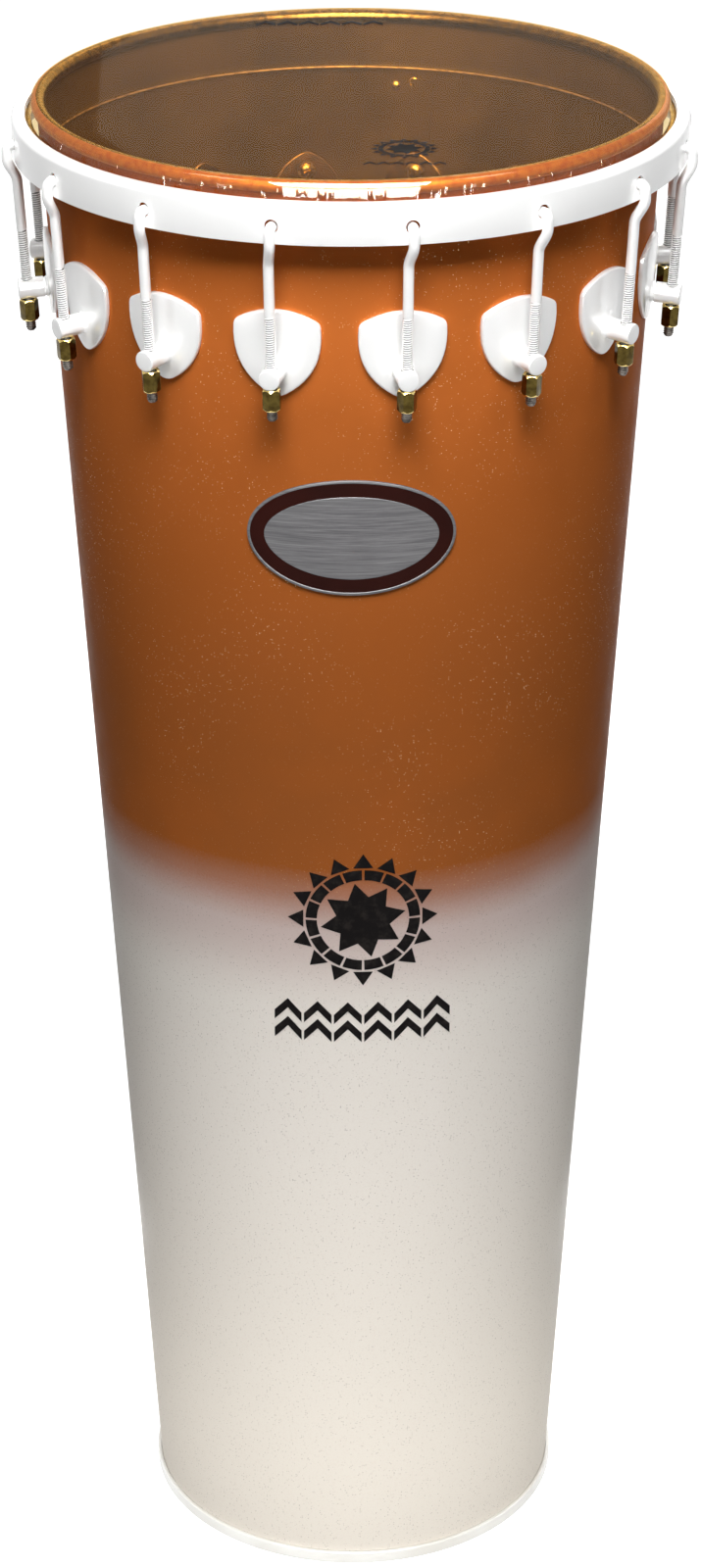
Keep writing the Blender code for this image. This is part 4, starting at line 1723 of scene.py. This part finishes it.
@dataclass
class Badge(Assembly):
    """The plain oval badge: a brushed field in a maroon border, bent to the shell."""

    width: float = 0.1120
    height: float = 0.0680
    thickness: float = 0.0010
    drop: float = 0.0973
    edge: float = 0.0004
    rim: float = 0.0011
    border: float = 0.0080
    border_rings: int = 3
    recess: float = 0.00018
    field_shares: tuple[float, ...] = (0.80, 0.75, 0.66, 0.5, 0.3)
    sides: int = 96

    def build(self) -> None:
        """Presses the badge from an oval blank."""
        plan, centre_point = self.plan, (0.0, 0.0, 0.0)
        place_height = plan.lug_height - self.drop
        radius = plan.shell_radius(place_height)
        badge = fresh(
            "badge_plate", bpy.ops.mesh.primitive_circle_add, vertices=self.sides, radius=0.5,
            fill_type="NGON", location=(0.0, -plan.gap, 0.0), rotation=(math.pi / 2, 0.0, 0.0),
        )
        badge.scale = (2 * radius * math.asin(self.width / 2 / radius), self.height, 1.0)
        settle(badge)
        with editing(badge, Pick.FACES):
            pull((0.0, self.edge - self.thickness, 0.0))
            step_in(0.3 * self.edge, 0.7 * self.edge)
            step_in(0.7 * self.edge, 0.3 * self.edge)
            step_in(self.rim)
            step_in(self.recess, -self.recess)
            for _ in range(self.border_rings):
                step_in(self.border / self.border_rings)
            step_in(self.recess, self.recess)
            for share in self.field_shares:
                ring_in(share, centre_point)
        mark(badge, lambda centre, normal: abs(centre.y + plan.gap) < 1e-6)
        with editing(badge, Pick.FACES, whole=False):
            for share in self.field_shares:
                ring_in(share, centre_point)
        tidy_normals(badge)
        dress(badge, self.finishes.badge, self.finishes.maroon)
        floor = plan.gap + self.thickness - self.recess
        paint_where(badge, 1, lambda centre, normal: abs(centre.y + floor) < 2e-5 and normal.y < -0.99)
        bend_round(badge, radius + plan.gap)
        put(badge, plan.on_shell(place_height, 0.0))
        smooth(badge, 30.0)
        seat(badge, "drum", ["badge"])


@dataclass
class Ornament(Assembly):
    """A plain geometric ornament in black ink: a ring of points round a star, over rows of chevrons."""

    ink_thickness: float = 0.00008
    ink_lift: float = 0.00010
    film_lift: float = 0.00004
    middle: float = 0.4600
    aside: float = 0.0060
    radius: float = 0.0430
    points: int = 16
    star_points: int = 8
    wing_share: float = 0.80
    wing_spread: float = 0.42
    ring_shares: tuple[float, float] = (0.76, 0.61)
    star_shares: tuple[float, float] = (0.57, 0.36)
    ring_gap: float = 1.3
    chevrons: int = 6
    row_drops: tuple[float, ...] = (0.0580, 0.0700)
    row_width: float = 0.1040
    chevron_height: float = 0.0100
    chevron_share: float = 0.46
    chevron_thickness: float = 0.62
    chevron_blunt: float = 0.2
    shell_cuts: float = 0.004
    film_cuts: float = 0.02
    front_scale: float = 0.42
    front_drop: float = 0.0250
    front_place: tuple[float, float] = (0.028, -0.118)
    back_scale: float = 0.72
    back_place: tuple[float, float] = (-0.018, 0.140)

    def build(self) -> None:
        """Prints the ornament on the shell, and two small ones on the film."""
        self.print_on_shell()
        self.print_on_film()

    def shape(self, name: str, outline: Outline) -> Piece:
        """Fills one flat shape of ink, facing -Y.

        Args:
            name: its name.
            outline: (across, up) points, closed.

        Returns:
            The shape.
        """
        shape = trace(name, [Vector((x, 0.0, z)) for x, z in outline])
        with editing(shape):
            bpy.ops.mesh.edge_face_add()
        return shape

    def star(self, radius: float, hollow: float, points: int) -> Outline:
        """The outline of a star.

        Args:
            radius: out to its points.
            hollow: out to its hollows.
            points: how many points.

        Returns:
            Its closed outline.
        """
        outline = []
        for i in range(2 * points):
            angle = math.pi * (i + 0.5) / points
            reach = radius if i % 2 == 0 else hollow
            outline.append((reach * math.cos(angle), reach * math.sin(angle)))
        return [*outline, outline[0]]

    def roundel(self, scale: float) -> list[Outline]:
        """The outlines of the pointed ring and the star in it.

        Args:
            scale: its size against the one on the shell.

        Returns:
            One closed outline for each shape.
        """
        radius, step, shapes = self.radius * scale, 2 * math.pi / self.points, []
        wing, aside = self.wing_share * radius, self.wing_spread
        for i in range(self.points):
            reaches = ((wing, i - aside), (radius, i), (wing, i + aside), (wing, i - aside))
            shapes.append([(r * math.cos(at * step), r * math.sin(at * step)) for r, at in reaches])
        outer_radius, inner_radius = (radius * share for share in self.ring_shares)
        for i in range(self.points):
            start = math.degrees(i * step) + self.ring_gap
            end = math.degrees((i + 1) * step) - self.ring_gap
            outer = arc((0.0, 0.0), outer_radius, start, end, 6)
            inner = arc((0.0, 0.0), inner_radius, end, start, 6)
            shapes.append([*outer, *inner, outer[0]])
        tip, hollow = (radius * share for share in self.star_shares)
        return [*shapes, self.star(tip, hollow, self.star_points)]

    def row(self, scale: float, drop: float = 0.0) -> list[Outline]:
        """The outlines of a row of chevrons, its middle over X = 0.

        Args:
            scale: its size against the one on the shell.
            drop: how far below the origin it lies.

        Returns:
            One closed outline for each chevron.
        """
        step, high = self.row_width * scale / self.chevrons, self.chevron_height * scale
        thick, half = high * self.chevron_thickness, step * self.chevron_share
        peak, foot = high / 2 - thick * self.chevron_blunt, -high / 2
        shapes = []
        for i in range(self.chevrons):
            middle = (i - (self.chevrons - 1) / 2) * step
            left, right = middle - half, middle + half
            outline = [(left, foot), (middle, peak), (right, foot)]
            outline += [(right, foot - thick), (middle, peak - thick), (left, foot - thick)]
            shapes.append([(x, z - drop) for x, z in [*outline, outline[0]]])
        return shapes

    def assemble(self, name: str, shapes: Sequence[Outline], cuts: float) -> Piece:
        """Joins shapes to one sheet of ink, cut fine enough to follow a curved surface.

        Args:
            name: its name.
            shapes: its outlines.
            cuts: the widest face left, in metres.

        Returns:
            The flat sheet of ink, with its thickness.
        """
        sheet = join(name, *[self.shape(f"{name}_{i}", outline) for i, outline in enumerate(shapes)])
        across = [vert.co.x for vert in sheet.data.vertices]
        left, wide = min(across), max(across) - min(across)
        places = int(wide / cuts)
        with editing(sheet):
            for i in range(1, places):
                bpy.ops.mesh.select_all(action="SELECT")
                spot = (left + wide * i / places, 0.0, 0.0)
                bpy.ops.mesh.bisect(plane_co=spot, plane_no=(1.0, 0.0, 0.0))
            bpy.ops.mesh.select_all(action="SELECT")
            bpy.ops.mesh.normals_make_consistent(inside=False)
        modify(sheet, "SOLIDIFY", thickness=self.ink_thickness, offset=0.0)
        return tidy_normals(sheet, 1e-7)

    def print_on_shell(self) -> None:
        """Lays the ornament on the front of the shell."""
        plan = self.plan
        shapes = self.roundel(1.0)
        for drop in self.row_drops:
            shapes += self.row(1.0, drop)
        sheet = self.assemble("shell_ornament", shapes, self.shell_cuts)
        put(sheet, Matrix.Translation((0.0, -self.ink_lift, 0.0)))
        radius = plan.shell_radius(self.middle)
        bend_round(sheet, radius)
        put(sheet, plan.on_shell(self.middle, self.aside / radius))
        dress(sheet, self.finishes.ink)
        seat(sheet, "drum")

    def print_on_film(self) -> None:
        """Lays a small ornament near the film's front and a row of chevrons near its back."""
        front = self.roundel(self.front_scale) + self.row(self.front_scale, self.front_drop)
        lift, flat = self.plan.height + self.film_lift, Matrix.Rotation(-math.pi / 2, 4, "X")
        for name, shapes, place in (
            ("head_ornament_front", front, self.front_place),
            ("head_ornament_back", self.row(self.back_scale), self.back_place),
        ):
            sheet = self.assemble(name, shapes, self.film_cuts)
            put(sheet, Matrix.Translation((*place, lift)) @ flat)
            dress(sheet, self.finishes.film_ink)
            seat(sheet, "head")


# Studio


@dataclass(frozen=True)
class Lamp:
    """A softbox, in metres and watts.

    It hangs at its place, faces its target and has a width and a height. Its light spreads over an
    angle in degrees. It can be kept out of shiny surfaces, or off dull ones.
    """

    name: str
    place: tuple[float, float, float]
    target: tuple[float, float, float]
    size: tuple[float, float]
    power: float
    spread: float = 180.0
    in_gloss: bool = True
    on_dull: bool = True

    def hang(self) -> None:
        """Hangs the softbox."""
        data = bpy.data.lights.new(self.name, "AREA")
        data.shape = "RECTANGLE"
        data.size, data.size_y = self.size
        data.energy = self.power
        data.spread = math.radians(self.spread)
        lamp = bpy.data.objects.new(self.name, data)
        lamp.visible_camera = False
        lamp.visible_glossy = self.in_gloss
        lamp.visible_diffuse = self.on_dull
        bpy.context.scene.collection.objects.link(lamp)
        lamp.location = self.place
        aim = Vector(self.target) - Vector(self.place)
        lamp.rotation_euler = aim.to_track_quat("-Z", "Y").to_euler()


@dataclass
class Studio:
    """A pale floor and backdrop, softboxes, and the camera at the photograph's place."""

    focal: float = 4091.5
    frame_height: float = 1600.0
    sensor: float = 36.0
    camera_place: tuple[float, float, float] = (0.0, -2.1617, 1.50328)
    tilt: float = 0.44417
    yaw: float = -0.00047
    roll: float = -0.00244
    floor_size: float = 30.0
    floor_grey: float = 0.28
    shadow_grey: float = 0.46
    floor_glow: tuple[float, float, float, float] = (0.4, 1.8, 0.92, 1.0)
    sky: float = 0.04
    side_place: tuple[float, float, float] = (0.901, -0.631, 1.9)
    low_reach: float = 0.30
    low_lamps: int = 6

    def build(self) -> None:
        """Sets up the studio."""
        bpy.context.scene.view_settings.view_transform = "Standard"
        self.make_camera()
        self.make_floor()
        self.make_sky()
        for lamp in self.lamps():
            lamp.hang()

    def lamps(self) -> list[Lamp]:
        """The lamps, from the high one in front to the low ones round the base."""
        across, front, high = self.side_place
        low_place, low_target = (0.0, -1.1, 0.30), (0.0, 0.0, 0.20)
        lamps = [
            Lamp("high_softbox", (0.0, -0.75, 1.75), (0.0, 0.0, 0.65), (0.6, 0.5), 20.5),
            Lamp("left_softbox", (-across, front, high), (0.0, 0.0, 0.70), (0.4, 0.4), 2.3),
            Lamp("right_softbox", (across, front, high), (0.0, 0.0, 0.70), (0.4, 0.4), 2.3),
            Lamp("low_softbox", low_place, low_target, (0.6, 0.35), 0.55, spread=50.0, in_gloss=False),
            Lamp("back_softbox", (0.0, 2.0, 3.0), (0.0, 0.0, 0.62), (1.7, 1.9), 32.0),
            Lamp("rear_softbox", (0.0, 1.5, 1.0), (0.0, 0.0, 0.5), (0.9, 1.1), 10.0, in_gloss=False),
            Lamp("film_card", (0.70, 2.5, 1.75), (0.0, 0.0, 0.95), (2.126, 1.3), 12.0),
            Lamp("gloss_card", (0.0, -1.2, 1.6), (0.0, 0.0, 0.89), (1.24, 1.4), 140.0, on_dull=False),
        ]
        for number in range(self.low_lamps):
            angle = 2 * math.pi * number / self.low_lamps
            spot = (self.low_reach * math.sin(angle), -self.low_reach * math.cos(angle), 0.03)
            lamps.append(Lamp(f"low_lamp_{number + 1}", spot, (0.0, 0.0, 0.05), (0.30, 0.05), 0.145))
        return lamps

    def make_camera(self) -> None:
        """Puts the camera where the photograph was taken from."""
        data = bpy.data.cameras.new("photo_camera")
        data.sensor_width = self.sensor
        data.lens = self.focal / self.frame_height * self.sensor
        camera = bpy.data.objects.new("photo_camera", data)
        bpy.context.scene.collection.objects.link(camera)
        down, yaw, roll = self.tilt, self.yaw, self.roll
        ahead = Vector(
            (math.sin(yaw) * math.cos(down), math.cos(yaw) * math.cos(down), -math.sin(down))
        )
        right = Vector((math.cos(yaw), -math.sin(yaw), 0.0))
        up = right.cross(ahead)
        leaned = right * math.cos(roll) + up * math.sin(roll)
        upright = up * math.cos(roll) - right * math.sin(roll)
        place = Matrix((leaned, upright, -ahead)).transposed().to_4x4()
        place.translation = self.camera_place
        camera.matrix_world = place
        bpy.context.scene.camera = camera

    def seen_white(self, tree: bpy.types.NodeTree, plain: Socket, white: Socket) -> Socket:
        """Shows one surface to the camera, to mirrors and through glass, and another to the light.

        Args:
            tree: the node tree.
            plain: what lights the object.
            white: what is seen.

        Returns:
            The mixed surface.
        """
        rays = tree.nodes.new("ShaderNodeLightPath")
        seen = rays.outputs["Is Camera Ray"]
        for other in ("Is Glossy Ray", "Is Transmission Ray"):
            most = tree.nodes.new("ShaderNodeMath")
            most.operation = "MAXIMUM"
            tree.links.new(seen, most.inputs[0])
            tree.links.new(rays.outputs[other], most.inputs[1])
            seen = most.outputs[0]
        both = tree.nodes.new("ShaderNodeMixShader")
        for source, socket in zip((seen, plain, white), both.inputs):
            tree.links.new(source, socket)
        return both.outputs[0]

    def make_floor(self) -> None:
        """Lays the pale floor, which keeps the object's shadow and glows more further away."""
        floor = fresh(
            "studio_floor", bpy.ops.mesh.primitive_plane_add, size=self.floor_size,
            location=(0.0, 0.0, 0.0),
        )
        bench = Bench("studio_floor_pale")
        bench.set(Base_Color=(self.floor_grey,) * 3, Roughness=0.8, Specular_IOR_Level=0.2)
        shadow = bench.add("BsdfDiffuse", Color=(self.shadow_grey,) * 3)
        away = bench.add("VectorMath", Vector=bench.place)
        away.operation = "LENGTH"
        rise = bench.add("MapRange")
        for term, socket in zip((away.outputs["Value"], *self.floor_glow), rise.inputs):
            bench.wire(term, socket)
        glow = bench.add("Emission", Strength=rise.outputs[0])
        both = bench.add("AddShader")
        bench.wire(shadow.outputs[0], both.inputs[0])
        bench.wire(glow.outputs[0], both.inputs[1])
        seen = self.seen_white(bench.tree, bench.shader.outputs[0], both.outputs[0])
        bench.wire(seen, bench.output.inputs["Surface"])
        dress(floor, bench.material)

    def make_sky(self) -> None:
        """Surrounds the studio with soft light."""
        world = bpy.data.worlds.new("studio_sky")
        bpy.context.scene.world = world
        world.use_nodes = True
        tree = world.node_tree
        plain, white = tree.nodes["Background"], tree.nodes.new("ShaderNodeBackground")
        for surface, strength in ((plain, self.sky), (white, 1.0)):
            surface.inputs["Color"].default_value = (1.0, 1.0, 1.0, 1.0)
            surface.inputs["Strength"].default_value = strength
        seen = self.seen_white(tree, plain.outputs[0], white.outputs[0])
        tree.links.new(seen, tree.nodes["World Output"].inputs["Surface"])


def main() -> None:
    """Builds the studio, then the sub-assemblies in order."""
    logging.basicConfig(level=logging.INFO, format="%(name)s: %(message)s")
    plan, finishes = Plan(), Finishes.mixed()
    Studio().build()
    for assembly in (Shell, DrumHead, TensionHoop, Lugs, Hooks, Nuts, Badge, Ornament):
        LOG.info("building %s", assembly.__name__)
        assembly(plan, finishes).build()


if __name__ == "__main__":
    main()
